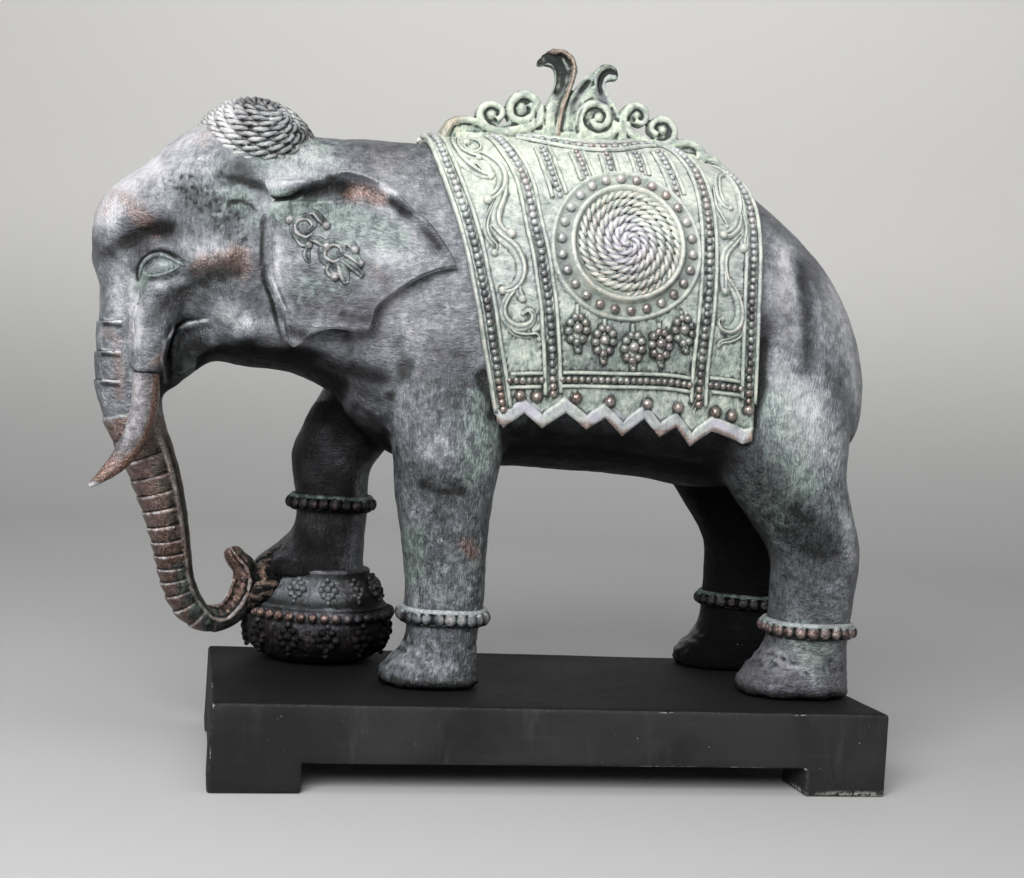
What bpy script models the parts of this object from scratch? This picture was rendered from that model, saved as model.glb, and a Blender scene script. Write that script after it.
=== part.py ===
# Standing elephant ornament, hollow cast in resin, on a low plinth.
# Sizes are in metres. The elephant faces -X, its left side is towards -Y, and +Z is up.
# Shapes are laid out about the elephant's middle plane, and the whole statue is then shifted
# so that the origin is at the centre of its bounding box, level with the plinth's feet.
import math

import bmesh
import bpy
import numpy as np
from mathutils import Matrix, Vector

MM = 0.001

# Finishes
PATINATED_RESIN = {"colour": (0.14, 0.13, 0.16), "roughness": 0.5, "metallic": 0.2}
TUSK_RESIN = {"colour": (0.17, 0.12, 0.11), "roughness": 0.45, "metallic": 0.2}
BLACK_LACQUER = {"colour": (0.03, 0.03, 0.03), "roughness": 0.5, "metallic": 0.0}

GAP = 0.3 * MM              # clearance kept between neighbouring solids

# Plinth
PLINTH_LENGTH = 430 * MM
PLINTH_DEPTH = 193 * MM
PLINTH_HEIGHT = 53.6 * MM
PLINTH_Y = -18 * MM         # the plinth's centre line, seen from the elephant's middle plane
FOOT_WIDTH = 55 * MM
FOOT_DEPTH = 40 * MM
APRON_HEIGHT = 18 * MM      # free height under the apron, between the corner feet
PLINTH_EDGE = 2.0 * MM      # softened outer edges
PLINTH_EDGE_STEPS = 2
FLAT_ANGLE = math.radians(1)
DOWNWARD = -0.9             # a face whose normal is lower than this looks down

# Casting
BODY_VOXEL = 3.0 * MM       # first blend of the limbs into the trunk of the body
BODY_SMOOTHING = 8
SKIN_VOXEL = 2.2 * MM       # second pass, with the ornament added
SKIN_SMOOTHING = 2
SMOOTHING_FACTOR = 0.5
SKIN_TRIANGLES = 8600       # size of the finished solid's mesh
CLOTH = 4.5 * MM            # how far the saddle cloth stands proud of the hide
BODY_REACH = 120 * MM       # cutters run this far to each side of the middle plane
ROW_STEPS = 3               # sections worked out for each one listed
FORM_SIDES = 28             # corners of a section of the body or a leg
LIMB_SIDES = 24
TUSK_SIDES = 12
BEAD_SIDES = 10             # round an anklet's wire
BEAD_STEPS = 32             # along it
BALL_SIDES = 32
BOSS_SIDES = 48
VOLUTE_SIDES = 20
SEAT_SIDES = 24
CAP_RINGS = 16
ROUND = 2.0                 # power of a round section
LIMB_POWER = 2.1            # a higher power makes a section squarer
FORM_POWER = 2.3
BARREL_PEAR = 0.08          # share by which the barrel is wider low down

# Barrel of the body: x, top, bottom, half width
BARREL = [(-152, 385, 262, 40), (-135, 404, 226, 53), (-105, 408, 200, 64), (-60, 412, 195, 70),
          (0, 418, 196, 73), (60, 419, 194, 74), (105, 408, 189, 74), (140, 391, 190, 72),
          (166, 371, 196, 68), (188, 351, 203, 62), (204, 329, 210, 53), (215, 300, 219, 42),
          (221.5, 274, 232, 24)]
# Skull and neck: x, top, bottom, half width
SKULL = [(-95, 406, 262, 56), (-130, 407, 258, 53), (-165, 405, 262, 52), (-195, 406, 268, 53),
         (-220, 409, 268, 52), (-240, 407, 270, 48), (-257, 395, 276, 43), (-274, 378, 284, 37),
         (-288, 366, 290, 31), (-298, 357, 298, 24), (-304, 346, 312, 14)]
# Throat and lower jaw
JAW = [(-110, 300, 222, 46), (-145, 300, 238, 44), (-175, 300, 250, 41), (-205, 300, 252, 36),
       (-225, 296, 254, 29), (-238, 288, 244, 21), (-250, 278, 233, 14), (-257, 262, 230, 8)]
# Trunk: x, y, z, half thickness, half width
TRUNK = [(-276, 0, 335, 20, 30), (-277, 0, 305, 21, 27), (-277, 0, 277, 21, 23), (-278, 0, 250, 21, 20),
         (-276, 0, 228, 20.5, 18), (-270, 1, 209, 18.5, 17), (-261, 2, 189, 17, 16),
         (-254, 4, 170, 15.8, 15.5), (-247.5, 6, 148, 14, 14), (-242.5, 9, 126, 12.4, 12.5),
         (-238.5, 12, 108, 11.4, 11.6), (-231, 15, 92, 10.8, 11.2), (-220, 18, 81.5, 10.2, 11.2),
         (-208, 21, 80.5, 10.8, 11.8), (-199, 24, 89, 12.2, 12.5), (-195.5, 26, 103, 11.4, 12.5),
         (-196.5, 27, 117, 9.5, 11.5), (-199, 27, 125, 7, 9)]
TRUNK_LIP = [(-199, 28, 104, 8, 10), (-190, 29, 112, 8, 10), (-182, 30, 118, 8, 11),
             (-172, 32, 124, 8, 12)]
# Tusk sheath on the left side, and the tusk set into it: x, y, z, half thickness, half width
SHEATH = [(-252, -30, 315, 13, 13), (-258, -31, 290, 12.5, 12.5), (-263, -31, 265, 11.5, 11.5),
          (-265, -30, 243.5, 10, 10)]
TUSK = [(-265.6, -30, 247, 8.3, 8.3), (-264.8, -31, 228, 8.6, 8.4), (-266.4, -32.5, 213, 8.3, 7.8),
        (-271.5, -34.5, 198.5, 7.6, 6.8), (-279.3, -36.5, 186, 6.0, 5.2), (-287.5, -38, 177.5, 3.8, 3.6),
        (-295, -39, 171, 1.4, 1.4)]
TUSK_SEAT_Z = 243.2 * MM    # the sheath is cut flat here, and the tusk butts on it
TUSK_SEAT_RADIUS = 11.5 * MM
TUSK_SEAT_DEPTH = 16 * MM   # and cleared this far below, round the tusk
# Legs from the shoulder or hip down: x, y, z, half thickness, half width
LEFT_FORELEG = [(-78, -28, 300, 42, 34), (-76, -35, 262, 41, 33), (-75, -39, 232, 39, 31),
                (-72.5, -42, 206, 36, 29), (-73.5, -43, 173, 31.3, 27), (-71, -43, 145, 28, 26.5),
                (-69, -43, 118, 26.2, 26), (-69, -43, 104, 25.5, 25.5), (-69, -43, 90, 23.5, 24),
                (-70, -43, 79, 24.5, 25), (-73, -43, 71, 29, 27), (-76, -43, 62, 32.5, 28.5),
                (-76, -43, 53.9, 33.5, 28.5)]
RIGHT_THIGH = [(-82, 28, 292, 40, 34), (-104, 34, 256, 35, 32), (-120, 39, 229, 31, 30),
               (-132, 42, 209, 29, 28), (-139.5, 43, 190, 26, 26)]
RIGHT_SHIN = [(-133, 42, 214, 27, 26), (-138.5, 43, 199, 28.5, 27.5), (-139.5, 43, 182, 26.5, 26),
              (-137.5, 43, 165, 25, 25), (-137, 43, 152, 24.5, 25), (-139, 43, 141, 25.5, 26),
              (-144, 43, 130, 31, 28), (-150, 43, 121, 37, 31), (-150, 43, 112, 40, 33)]
LEFT_HINDLEG = [(147, -31, 300, 60, 36), (149, -37, 262, 58, 35), (153, -42, 232, 53, 34),
                (157, -46, 206, 46, 32.5), (165.5, -49, 185, 40, 30), (176, -51, 165, 35.5, 28),
                (183, -52, 147, 31, 26.5), (182.5, -52, 124, 28.5, 26), (181.5, -52, 105, 27.5, 26),
                (181, -52, 90, 27.5, 26), (178.5, -52, 78, 31, 27), (173.5, -52, 68, 36.5, 28),
                (172.5, -52, 60, 38.5, 28.5), (173, -52, 53.9, 38, 28)]
RIGHT_HIND_SHIFT = (-10, 102)   # from the left hind leg to the right one, in x and y
# Anklets: x, y, z, ring radius along x, ring radius along y
ANKLETS = [(-69, -43, 99, 27.5, 27.5), (-137.5, 43, 162, 28.5, 28.5), (181.5, -52, 99.5, 30.5, 28.5),
           (171.5, 50, 104, 30.5, 28.5)]
ANKLET_WIRE = 5.2 * MM
# Ball under the raised forefoot: radius, z
BALL_CENTRE = (-142, 44)
BALL = [(29, 53.9), (40, 57), (48, 65), (51, 75), (50, 82), (53, 85), (53, 90), (49, 94), (43, 105),
        (35, 114), (31, 117)]
# Ear, front edge then round the lower lobe to the rear point and back over the fold: x, z
EAR = [(-203, 351), (-198, 334), (-195, 317), (-190, 295), (-185, 279), (-180, 265), (-172, 266),
       (-163, 275), (-153, 278), (-133, 277), (-128, 290), (-118, 299), (-104, 310), (-91, 317),
       (-79, 323), (-94, 339), (-107, 350), (-119, 362), (-131, 369), (-146, 374), (-168, 368),
       (-190, 366)]
EAR_ROOT_Y = 49             # half width of the head over the ear's front edge
EAR_TIP_Y = 75              # and over its rear tip
EAR_BACK_Y = 44             # the flap is solid down to here, inside the neck
# Saddle cloth seen from the side: front edge, then rear edge, each as x at a height
CLOTH_FRONT = [(-112, 425), (-107, 402), (-93, 378), (-81, 350), (-71, 320), (-62, 285), (-54, 250),
               (-51, 231)]
CLOTH_REAR = [(120, 220), (121, 250), (120, 300), (116, 345), (109, 380), (103, 405), (103, 430)]
HEM_TIPS = (-44, -19, 10, 34, 59, 81, 108)   # x of the points of the hem, with a notch between each two
HEM_TIP_Z = 221
HEM_VALLEY_Z = 232
# Round boss on each side of the cloth: x, z, then radius and height above the hide, rim and disc
BOSS_X = 29
BOSS_Z = 345
BOSS_STEPS = [(50, 6.5), (38, 9.5)]
# Crown cap and crest
CAP_CENTRE = (-206, 0, 397)
CAP_SIZE = (43, 39, 29)     # half length, half width, half height
CAP_TILT = math.radians(14)
CREST_THICKNESS = 15 * MM
VOLUTES = [(27, 441, 13), (-26, 438, 11), (-46, 431, 10), (56, 440, 10.5), (74, 433, 9.5),
           (-68, 422, 9.5), (95, 422, 8)]
CREST_BASE = [(-78, 402), (-72, 422), (-50, 428), (-20, 432), (20, 436), (50, 434), (78, 428),
              (98, 423), (113, 415), (127, 407), (135, 395), (120, 385)]
TALL_LEAF = [(-16, 415), (-14, 437), (-10, 458), (-17, 470), (-19, 477), (-12, 482.5), (0, 483),
             (7, 478), (10, 466), (8, 452), (5, 436), (4, 415)]
SHORT_LEAF = [(9, 415), (12, 436), (16, 462), (23, 477), (34, 477), (39, 471), (30, 465), (30, 452),
              (38, 438), (44, 415)]


def clear_scene():
    for thing in list(bpy.data.objects):
        bpy.data.objects.remove(thing, do_unlink=True)


def make_material(name, colour, roughness, metallic):
    material = bpy.data.materials.new(name)
    material.use_nodes = True
    shader = material.node_tree.nodes["Principled BSDF"]
    shader.inputs["Base Color"].default_value = (*colour, 1.0)
    shader.inputs["Roughness"].default_value = roughness
    shader.inputs["Metallic"].default_value = metallic
    return material


def object_from(bm, name):
    bmesh.ops.recalc_face_normals(bm, faces=bm.faces)
    mesh = bpy.data.meshes.new(name)
    bm.to_mesh(mesh)
    bm.free()
    made = bpy.data.objects.new(name, mesh)
    bpy.context.scene.collection.objects.link(made)
    return made


def smooth_rows(rows, steps=ROW_STEPS):
    """Catmull-Rom rows between the given rows, so that a profile has no corners."""
    table = np.array(rows, float)
    padded = np.vstack([2 * table[0] - table[1], table, 2 * table[-1] - table[-2]])
    result = []
    for i in range(len(table) - 1):
        a, b, c, d = padded[i:i + 4]
        for k in range(steps):
            t = k / steps
            result.append(0.5 * (2 * b + (c - a) * t + (2 * a - 5 * b + 4 * c - d) * t ** 2
                                 + (3 * b - a - 3 * c + d) * t ** 3))
    result.append(table[-1])
    return np.array(result)


def ring_points(centre, side, up, half_side, half_up, sides=FORM_SIDES, power=FORM_POWER,
                pear=0.0):
    """One closed cross section. pear widens its lower half and narrows its upper half."""
    points = []
    for i in range(sides):
        angle = math.tau * i / sides
        c, s = math.cos(angle), math.sin(angle)
        across = math.copysign(abs(c) ** (2 / power), c) * (1 - pear * s)
        along = math.copysign(abs(s) ** (2 / power), s)
        points.append(centre + side * (half_side * across) + up * (half_up * along))
    return points


def add_loft(bm, rings):
    """Skins a row of rings and closes both ends."""
    loops = [[bm.verts.new(p) for p in ring] for ring in rings]
    count = len(loops[0])
    for a, b in zip(loops, loops[1:]):
        for i in range(count):
            j = (i + 1) % count
            bm.faces.new((a[i], a[j], b[j], b[i]))
    bm.faces.new(loops[0][::-1])
    bm.faces.new(loops[-1])


def add_slices(bm, rows, pear=0.0, power=FORM_POWER):
    """A form given by upright cross sections: x, top, bottom, half width."""
    rings = []
    for x, top, bottom, half in smooth_rows(rows):
        centre = Vector((x, 0, (top + bottom) / 2)) * MM
        rings.append(ring_points(centre, Vector((0, 1, 0)), Vector((0, 0, 1)), half * MM,
                                 (top - bottom) / 2 * MM, power=power, pear=pear))
    add_loft(bm, rings)


def add_limb(bm, rows, power=LIMB_POWER, sides=LIMB_SIDES):
    """A form given by sections square to its own line: x, y, z, half thickness, half width."""
    table = smooth_rows(rows)
    rings = []
    for i, (x, y, z, thick, wide) in enumerate(table):
        ahead = table[min(i + 1, len(table) - 1)][:3]
        behind = table[max(i - 1, 0)][:3]
        line = Vector(ahead - behind).normalized()
        side = Vector((0, 1, 0))
        side = (side - line * side.dot(line)).normalized()
        up = side.cross(line)
        rings.append(ring_points(Vector((x, y, z)) * MM, side, up, wide * MM, thick * MM, sides, power))
    add_loft(bm, rings)


def add_upright_limb(bm, rows, power=FORM_POWER, sides=FORM_SIDES):
    """A leg: level cross sections, so that its foot is flat."""
    rings = []
    for x, y, z, thick, wide in smooth_rows(rows):
        rings.append(ring_points(Vector((x, y, z)) * MM, Vector((0, 1, 0)), Vector((1, 0, 0)),
                                 wide * MM, thick * MM, sides, power))
    add_loft(bm, rings)


def add_plate(bm, outline, y_front, y_back):
    """A flat form cut to an outline in x and z, from one y to another."""
    front = [bm.verts.new((x * MM, y_front, z * MM)) for x, z in outline]
    back = [bm.verts.new((x * MM, y_back, z * MM)) for x, z in outline]
    bm.faces.new(front)
    bm.faces.new(back[::-1])
    for i in range(len(outline)):
        j = (i + 1) % len(outline)
        bm.faces.new((front[i], back[i], back[j], front[j]))


def add_ring_bead(bm, x, y, z, radius_x, radius_y, wire):
    """A torus laid level round a leg."""
    loops = []
    for i in range(BEAD_STEPS):
        angle = math.tau * i / BEAD_STEPS
        out = Vector((math.cos(angle), math.sin(angle), 0))
        middle = Vector((x * MM + out.x * radius_x * MM, y * MM + out.y * radius_y * MM, z * MM))
        loop = []
        for k in range(BEAD_SIDES):
            turn = math.tau * k / BEAD_SIDES
            lift = Vector((0, 0, wire * math.sin(turn)))
            loop.append(bm.verts.new(middle + out * (wire * math.cos(turn)) + lift))
        loops.append(loop)
    for i in range(BEAD_STEPS):
        a, b = loops[i], loops[(i + 1) % BEAD_STEPS]
        for k in range(BEAD_SIDES):
            m = (k + 1) % BEAD_SIDES
            bm.faces.new((a[k], a[m], b[m], b[k]))


def add_ball(bm):
    """The turned ball: a bowl, a bead belt and a sloping shoulder."""
    rings = []
    for radius, z in BALL:
        centre = Vector((*BALL_CENTRE, z)) * MM
        rings.append(ring_points(centre, Vector((0, 1, 0)), Vector((1, 0, 0)), radius * MM, radius * MM,
                                 BALL_SIDES, ROUND))
    add_loft(bm, rings)


def mirrored(rows):
    return [(row[0], -row[1], *row[2:]) for row in rows]


def evaluated(source, name):
    """A new plain mesh object with the source's modifiers applied. The source is removed."""
    depsgraph = bpy.context.evaluated_depsgraph_get()
    mesh = bpy.data.meshes.new_from_object(source.evaluated_get(depsgraph))
    mesh.name = name
    made = bpy.data.objects.new(name, mesh)
    bpy.context.scene.collection.objects.link(made)
    bpy.data.objects.remove(source, do_unlink=True)
    return made


def remesh(target, voxel, smoothing):
    modifier = target.modifiers.new("blend", "REMESH")
    modifier.mode = "VOXEL"
    modifier.voxel_size = voxel
    modifier = target.modifiers.new("soften", "SMOOTH")
    modifier.factor = SMOOTHING_FACTOR
    modifier.iterations = smoothing
    return evaluated(target, target.name + "_blended")


def hide_form():
    """Barrel, head, jaw and legs blended into one smooth body."""
    bm = bmesh.new()
    add_slices(bm, BARREL, pear=BARREL_PEAR)
    add_slices(bm, SKULL)
    add_slices(bm, JAW, power=ROUND)
    add_upright_limb(bm, LEFT_FORELEG)
    add_limb(bm, RIGHT_THIGH)
    add_upright_limb(bm, RIGHT_SHIN)
    add_upright_limb(bm, LEFT_HINDLEG)
    step, spread = RIGHT_HIND_SHIFT
    foot_y = LEFT_HINDLEG[-1][1]
    right_hindleg = [(x + step, 2 * foot_y + spread - y, *rest) for x, y, *rest in LEFT_HINDLEG]
    add_upright_limb(bm, right_hindleg)
    add_limb(bm, TRUNK)
    return remesh(object_from(bm, "hide"), BODY_VOXEL, BODY_SMOOTHING)


def cloth_cutter():
    """The saddle cloth's outline seen from the side, with its pointed hem, run through the body."""
    front = [(x, z) for x, z in smooth_rows(CLOTH_FRONT)]
    rear = [(x, z) for x, z in smooth_rows(CLOTH_REAR)]
    hem = []
    for x, following in zip(HEM_TIPS, HEM_TIPS[1:]):
        hem.append((x, HEM_TIP_Z))
        hem.append(((x + following) / 2, HEM_VALLEY_Z))
    hem.append((HEM_TIPS[-1], HEM_TIP_Z))
    bm = bmesh.new()
    add_plate(bm, front + hem + rear, -BODY_REACH, BODY_REACH)
    bmesh.ops.triangulate(bm, faces=bm.faces)
    return object_from(bm, "cutter")


def boss_cutter(radius):
    bm = bmesh.new()
    place = Matrix.Translation((BOSS_X * MM, 0, BOSS_Z * MM)) @ Matrix.Rotation(math.pi / 2, 4, "X")
    bmesh.ops.create_cone(bm, cap_ends=True, segments=BOSS_SIDES, radius1=radius * MM,
                          radius2=radius * MM, depth=2 * BODY_REACH, matrix=place)
    return object_from(bm, "cutter")


def raised_patch(hide, height, cutter, name):
    """The body swollen by a height and kept only inside a cutter, which is then removed."""
    swollen = bpy.data.objects.new("swollen", hide.data.copy())
    bpy.context.scene.collection.objects.link(swollen)
    modifier = swollen.modifiers.new("swell", "DISPLACE")
    modifier.strength = height
    modifier.mid_level = 0.0
    modifier = swollen.modifiers.new("outline", "BOOLEAN")
    modifier.operation = "INTERSECT"
    modifier.object = cutter
    patch = evaluated(swollen, name)
    bpy.data.objects.remove(cutter, do_unlink=True)
    return patch


def add_ear(bm, side):
    """An ear flap that flares out behind the cheek. side is -1 for the left ear and 1 for the right."""
    low = min(x for x, z in EAR)
    high = max(x for x, z in EAR)

    def flap_y(x):
        share = (x - low) / (high - low)
        return side * (EAR_ROOT_Y + (EAR_TIP_Y - EAR_ROOT_Y) * math.sin(share * math.pi / 2)) * MM

    outer = [bm.verts.new((x * MM, flap_y(x), z * MM)) for x, z in EAR]
    inner = [bm.verts.new((x * MM, side * EAR_BACK_Y * MM, z * MM)) for x, z in EAR]
    faces = [bm.faces.new(outer), bm.faces.new(inner[::-1])]
    for i in range(len(EAR)):
        j = (i + 1) % len(EAR)
        bm.faces.new((outer[i], inner[i], inner[j], outer[j]))
    bmesh.ops.triangulate(bm, faces=faces)


def ornament_form():
    """Everything cast on the hide, before it is blended with it."""
    bm = bmesh.new()
    add_ear(bm, -1)
    add_ear(bm, 1)
    add_limb(bm, SHEATH)
    add_limb(bm, mirrored(SHEATH))
    for anklet in ANKLETS:
        add_ring_bead(bm, *anklet, ANKLET_WIRE)
    add_ball(bm)
    cap = bmesh.ops.create_uvsphere(bm, u_segments=2 * CAP_RINGS, v_segments=CAP_RINGS, radius=1.0)["verts"]
    size = Matrix.Diagonal((*(s * MM for s in CAP_SIZE), 1.0))
    place = Matrix.Translation(Vector(CAP_CENTRE) * MM) @ Matrix.Rotation(CAP_TILT, 4, "Y") @ size
    bmesh.ops.transform(bm, matrix=place, verts=cap)
    add_limb(bm, TRUNK_LIP)
    for outline in (TALL_LEAF, SHORT_LEAF, CREST_BASE):
        add_plate(bm, outline, -CREST_THICKNESS / 2, CREST_THICKNESS / 2)
    for x, z, radius in VOLUTES:
        place = Matrix.Translation((x * MM, 0, z * MM)) @ Matrix.Rotation(math.pi / 2, 4, "X")
        bmesh.ops.create_cone(bm, cap_ends=True, segments=VOLUTE_SIDES, radius1=radius * MM,
                              radius2=radius * MM, depth=CREST_THICKNESS, matrix=place)
    return object_from(bm, "ornament")


def joined(objects, name):
    """One object holding copies of several meshes. The sources are removed."""
    bm = bmesh.new()
    for source in objects:
        bm.from_mesh(source.data)
    made = object_from(bm, name)
    for source in objects:
        bpy.data.objects.remove(source, do_unlink=True)
    return made


def elephant_form():
    hide = hide_form()
    patches = [raised_patch(hide, CLOTH, cloth_cutter(), "cloth")]
    for radius, height in BOSS_STEPS:
        patches.append(raised_patch(hide, height * MM, boss_cutter(radius), "boss"))
    body = joined([hide, *patches, ornament_form()], "elephant_raw")
    body = remesh(body, SKIN_VOXEL, SKIN_SMOOTHING)
    modifier = body.modifiers.new("reduce", "DECIMATE")
    modifier.ratio = SKIN_TRIANGLES / (2 * len(body.data.polygons))
    modifier = body.modifiers.new("tusk_seats", "BOOLEAN")
    modifier.operation = "DIFFERENCE"
    modifier.object = tusk_seat_cutter()
    seats = modifier.object
    body = evaluated(body, "elephant")
    bpy.data.objects.remove(seats, do_unlink=True)
    return body


def tusk_seat_cutter():
    """Clears the space below each sheath's flat end."""
    bm = bmesh.new()
    x, y = TUSK[0][:2]
    for side in (1, -1):
        place = Matrix.Translation((x * MM, side * y * MM, TUSK_SEAT_Z - TUSK_SEAT_DEPTH / 2))
        bmesh.ops.create_cone(bm, cap_ends=True, segments=SEAT_SIDES, radius1=TUSK_SEAT_RADIUS,
                              radius2=TUSK_SEAT_RADIUS, depth=TUSK_SEAT_DEPTH, matrix=place)
    return object_from(bm, "seat_cutter")


def tusk_form(name, rows):
    bm = bmesh.new()
    add_limb(bm, rows, power=ROUND, sides=TUSK_SIDES)
    cut = bmesh.ops.bisect_plane(bm, geom=bm.verts[:] + bm.edges[:] + bm.faces[:],
                                 plane_co=(0, 0, TUSK_SEAT_Z - GAP), plane_no=(0, 0, 1), clear_outer=True)
    rim = [item for item in cut["geom_cut"] if isinstance(item, bmesh.types.BMEdge)]
    bmesh.ops.contextual_create(bm, geom=rim)
    return object_from(bm, name)


def plinth_form():
    """A solid top with an apron-like edge, standing on four corner feet."""
    bm = bmesh.new()
    bmesh.ops.create_cube(bm, size=1.0)
    thickness = PLINTH_HEIGHT - APRON_HEIGHT
    size = Matrix.Diagonal((PLINTH_LENGTH, PLINTH_DEPTH, thickness, 1.0))
    place = Matrix.Translation((0, PLINTH_Y, APRON_HEIGHT + thickness / 2))
    bmesh.ops.transform(bm, matrix=place @ size, verts=bm.verts)
    inner_x = PLINTH_LENGTH / 2 - FOOT_WIDTH
    inner_y = PLINTH_DEPTH / 2 - FOOT_DEPTH
    for sign in (-1, 1):
        for point, normal in (((sign * inner_x, 0, 0), (1, 0, 0)),
                              ((0, PLINTH_Y + sign * inner_y, 0), (0, 1, 0))):
            geometry = bm.verts[:] + bm.edges[:] + bm.faces[:]
            bmesh.ops.bisect_plane(bm, geom=geometry, plane_co=point, plane_no=normal)
    corners = []
    for face in bm.faces:
        middle = face.calc_center_median()
        in_corner = abs(middle.x) > inner_x and abs(middle.y - PLINTH_Y) > inner_y
        if face.normal.z < DOWNWARD and in_corner:
            corners.append(face)
    feet = bmesh.ops.extrude_discrete_faces(bm, faces=corners)["faces"]
    bmesh.ops.translate(bm, vec=(0, 0, -APRON_HEIGHT), verts=list({v for f in feet for v in f.verts}))
    bmesh.ops.dissolve_limit(bm, angle_limit=FLAT_ANGLE, verts=bm.verts, edges=bm.edges)
    plinth = object_from(bm, "plinth")
    modifier = plinth.modifiers.new("soft_edges", "BEVEL")
    modifier.width = PLINTH_EDGE
    modifier.segments = PLINTH_EDGE_STEPS
    return plinth


def place_on_origin(pieces):
    """Shifts the whole statue so that the origin is the bottom centre of its bounding box."""
    bpy.context.view_layer.update()
    corners = [piece.matrix_world @ Vector(c) for piece in pieces for c in piece.bound_box]
    low = [min(c[i] for c in corners) for i in range(3)]
    high = [max(c[i] for c in corners) for i in range(3)]
    root = bpy.data.objects.new("statue", None)
    bpy.context.scene.collection.objects.link(root)
    root.location = (-(low[0] + high[0]) / 2, -(low[1] + high[1]) / 2, -low[2])
    for piece in pieces:
        piece.parent = root


def build():
    clear_scene()
    elephant = elephant_form()
    left = tusk_form("left_tusk", TUSK)
    right = tusk_form("right_tusk", mirrored(TUSK))
    plinth = plinth_form()
    resin = make_material("patinated_resin", **PATINATED_RESIN)
    tusk_resin = make_material("tusk_resin", **TUSK_RESIN)
    lacquer = make_material("black_lacquer", **BLACK_LACQUER)
    for piece, material in ((elephant, resin), (left, tusk_resin), (right, tusk_resin), (plinth, lacquer)):
        piece.data.materials.clear()
        piece.data.materials.append(material)
    for piece in (elephant, left, right):
        piece.data.shade_smooth()
    place_on_origin([elephant, left, right, plinth])


build()
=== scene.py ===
from math import copysign, cos, pi, radians, sin, tau

import bmesh
import bpy
import numpy as np
from mathutils import Matrix, Vector, noise
from mathutils.bvhtree import BVHTree
from mathutils.kdtree import KDTree


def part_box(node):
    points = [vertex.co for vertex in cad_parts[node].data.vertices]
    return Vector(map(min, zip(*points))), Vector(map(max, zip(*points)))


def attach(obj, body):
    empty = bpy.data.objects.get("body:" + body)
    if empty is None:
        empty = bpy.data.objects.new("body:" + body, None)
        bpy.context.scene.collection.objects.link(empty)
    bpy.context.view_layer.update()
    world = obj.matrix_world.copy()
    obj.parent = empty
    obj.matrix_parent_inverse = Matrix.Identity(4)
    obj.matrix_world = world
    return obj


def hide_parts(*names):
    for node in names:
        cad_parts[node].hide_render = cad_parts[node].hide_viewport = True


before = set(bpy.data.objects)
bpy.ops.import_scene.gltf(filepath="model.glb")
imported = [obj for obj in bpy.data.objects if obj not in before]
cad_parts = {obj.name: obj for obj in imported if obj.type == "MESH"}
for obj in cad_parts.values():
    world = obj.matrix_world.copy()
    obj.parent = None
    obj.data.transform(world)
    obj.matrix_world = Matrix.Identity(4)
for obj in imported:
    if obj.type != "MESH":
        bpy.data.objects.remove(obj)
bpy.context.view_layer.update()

# Resin elephant on its black plinth. Shapes are laid out in millimetres about the elephant's middle
# plane: x from trunk (-) to tail (+), y towards the elephant's right, z up from the shelf.
# toFrame carries a finished mesh from there into the frame, with the plinth as the anchor.
plinthLow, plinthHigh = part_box("plinth")
plinthMiddle = (plinthLow + plinthHigh) / 2
mm = 0.001
weldReach = 0.003           # points nearer than this are one, in mm
standZ = 53.9               # the feet and the ball stand this high, just in the plinth's top
plinthOffset = 18 * mm      # the plinth's centre line lies this far on the elephant's left
toFrame = Matrix.Translation((plinthMiddle.x, plinthMiddle.y + plinthOffset, 0)) @ Matrix.Scale(mm, 4)
acrossAxis, alongAxis, upAxis = Vector((0, 1, 0)), Vector((1, 0, 0)), Vector((0, 0, 1))
bothSides = ((-1, "left"), (1, "right"))     # the sign of y and the name of each side
chance = np.random.default_rng(7)


# Shader sums

class Shade:
    # a shader socket that takes part in Python sums
    def __init__(self, tree, socket=None):
        self.tree, self.socket = tree, socket

    def node(self, kind, settings=None, values=None, output=0):
        made = self.tree.nodes.new("ShaderNode" + kind)
        for name, value in (settings or {}).items():
            if name == "stops":
                ramp = made.color_ramp
                while len(ramp.elements) < len(value):
                    ramp.elements.new(1.0)
                for element, (place, colour) in zip(ramp.elements, value):
                    element.position = place
                    element.color = colour
            else:
                setattr(made, name, value)
        for name, value in (values or {}).items():
            if isinstance(value, Shade):
                self.tree.links.new(value.socket, made.inputs[name])
            else:
                made.inputs[name].default_value = value
        return Shade(self.tree, made.outputs[output])

    def math(self, operation, first, second, clamp=False):
        return self.node("Math", {"operation": operation, "use_clamp": clamp}, {0: first, 1: second})

    def __add__(self, other): return self.math("ADD", self, other)
    def __radd__(self, other): return self.math("ADD", other, self)
    def __sub__(self, other): return self.math("SUBTRACT", self, other)
    def __rsub__(self, other): return self.math("SUBTRACT", other, self)
    def __mul__(self, other): return self.math("MULTIPLY", self, other)
    def __rmul__(self, other): return self.math("MULTIPLY", other, self)

    def clamped(self):
        return self.math("ADD", self, 0.0, clamp=True)

    def step(self, low, high):
        # 0 below low, 1 above high, smooth between
        return self.node("MapRange", {"interpolation_type": "SMOOTHSTEP"}, {0: self, 1: low, 2: high})

    def noise(self, scale, detail=4.0, roughness=0.55, warp=0.0):
        # self is the vector it reads
        return self.node("TexNoise", {}, {"Vector": self, "Scale": scale, "Detail": detail, "Roughness": roughness,
            "Distortion": warp})

    def attribute(self, name):
        return self.node("Attribute", {"attribute_name": name}, output=2)

    def stretched(self, scale, turn=(0, 0, 0)):
        return self.node("Mapping", {}, {"Vector": self, "Scale": scale, "Rotation": turn})


def mixed(start, end, share):
    # start where share is 0, end where it is 1; either may be a plain colour
    maker = next(part for part in (share, start, end) if isinstance(part, Shade))
    return maker.node("Mix", {"data_type": "RGBA", "blend_type": "MIX"}, {0: share, 6: start, 7: end}, output=2)


# Shape helpers

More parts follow.
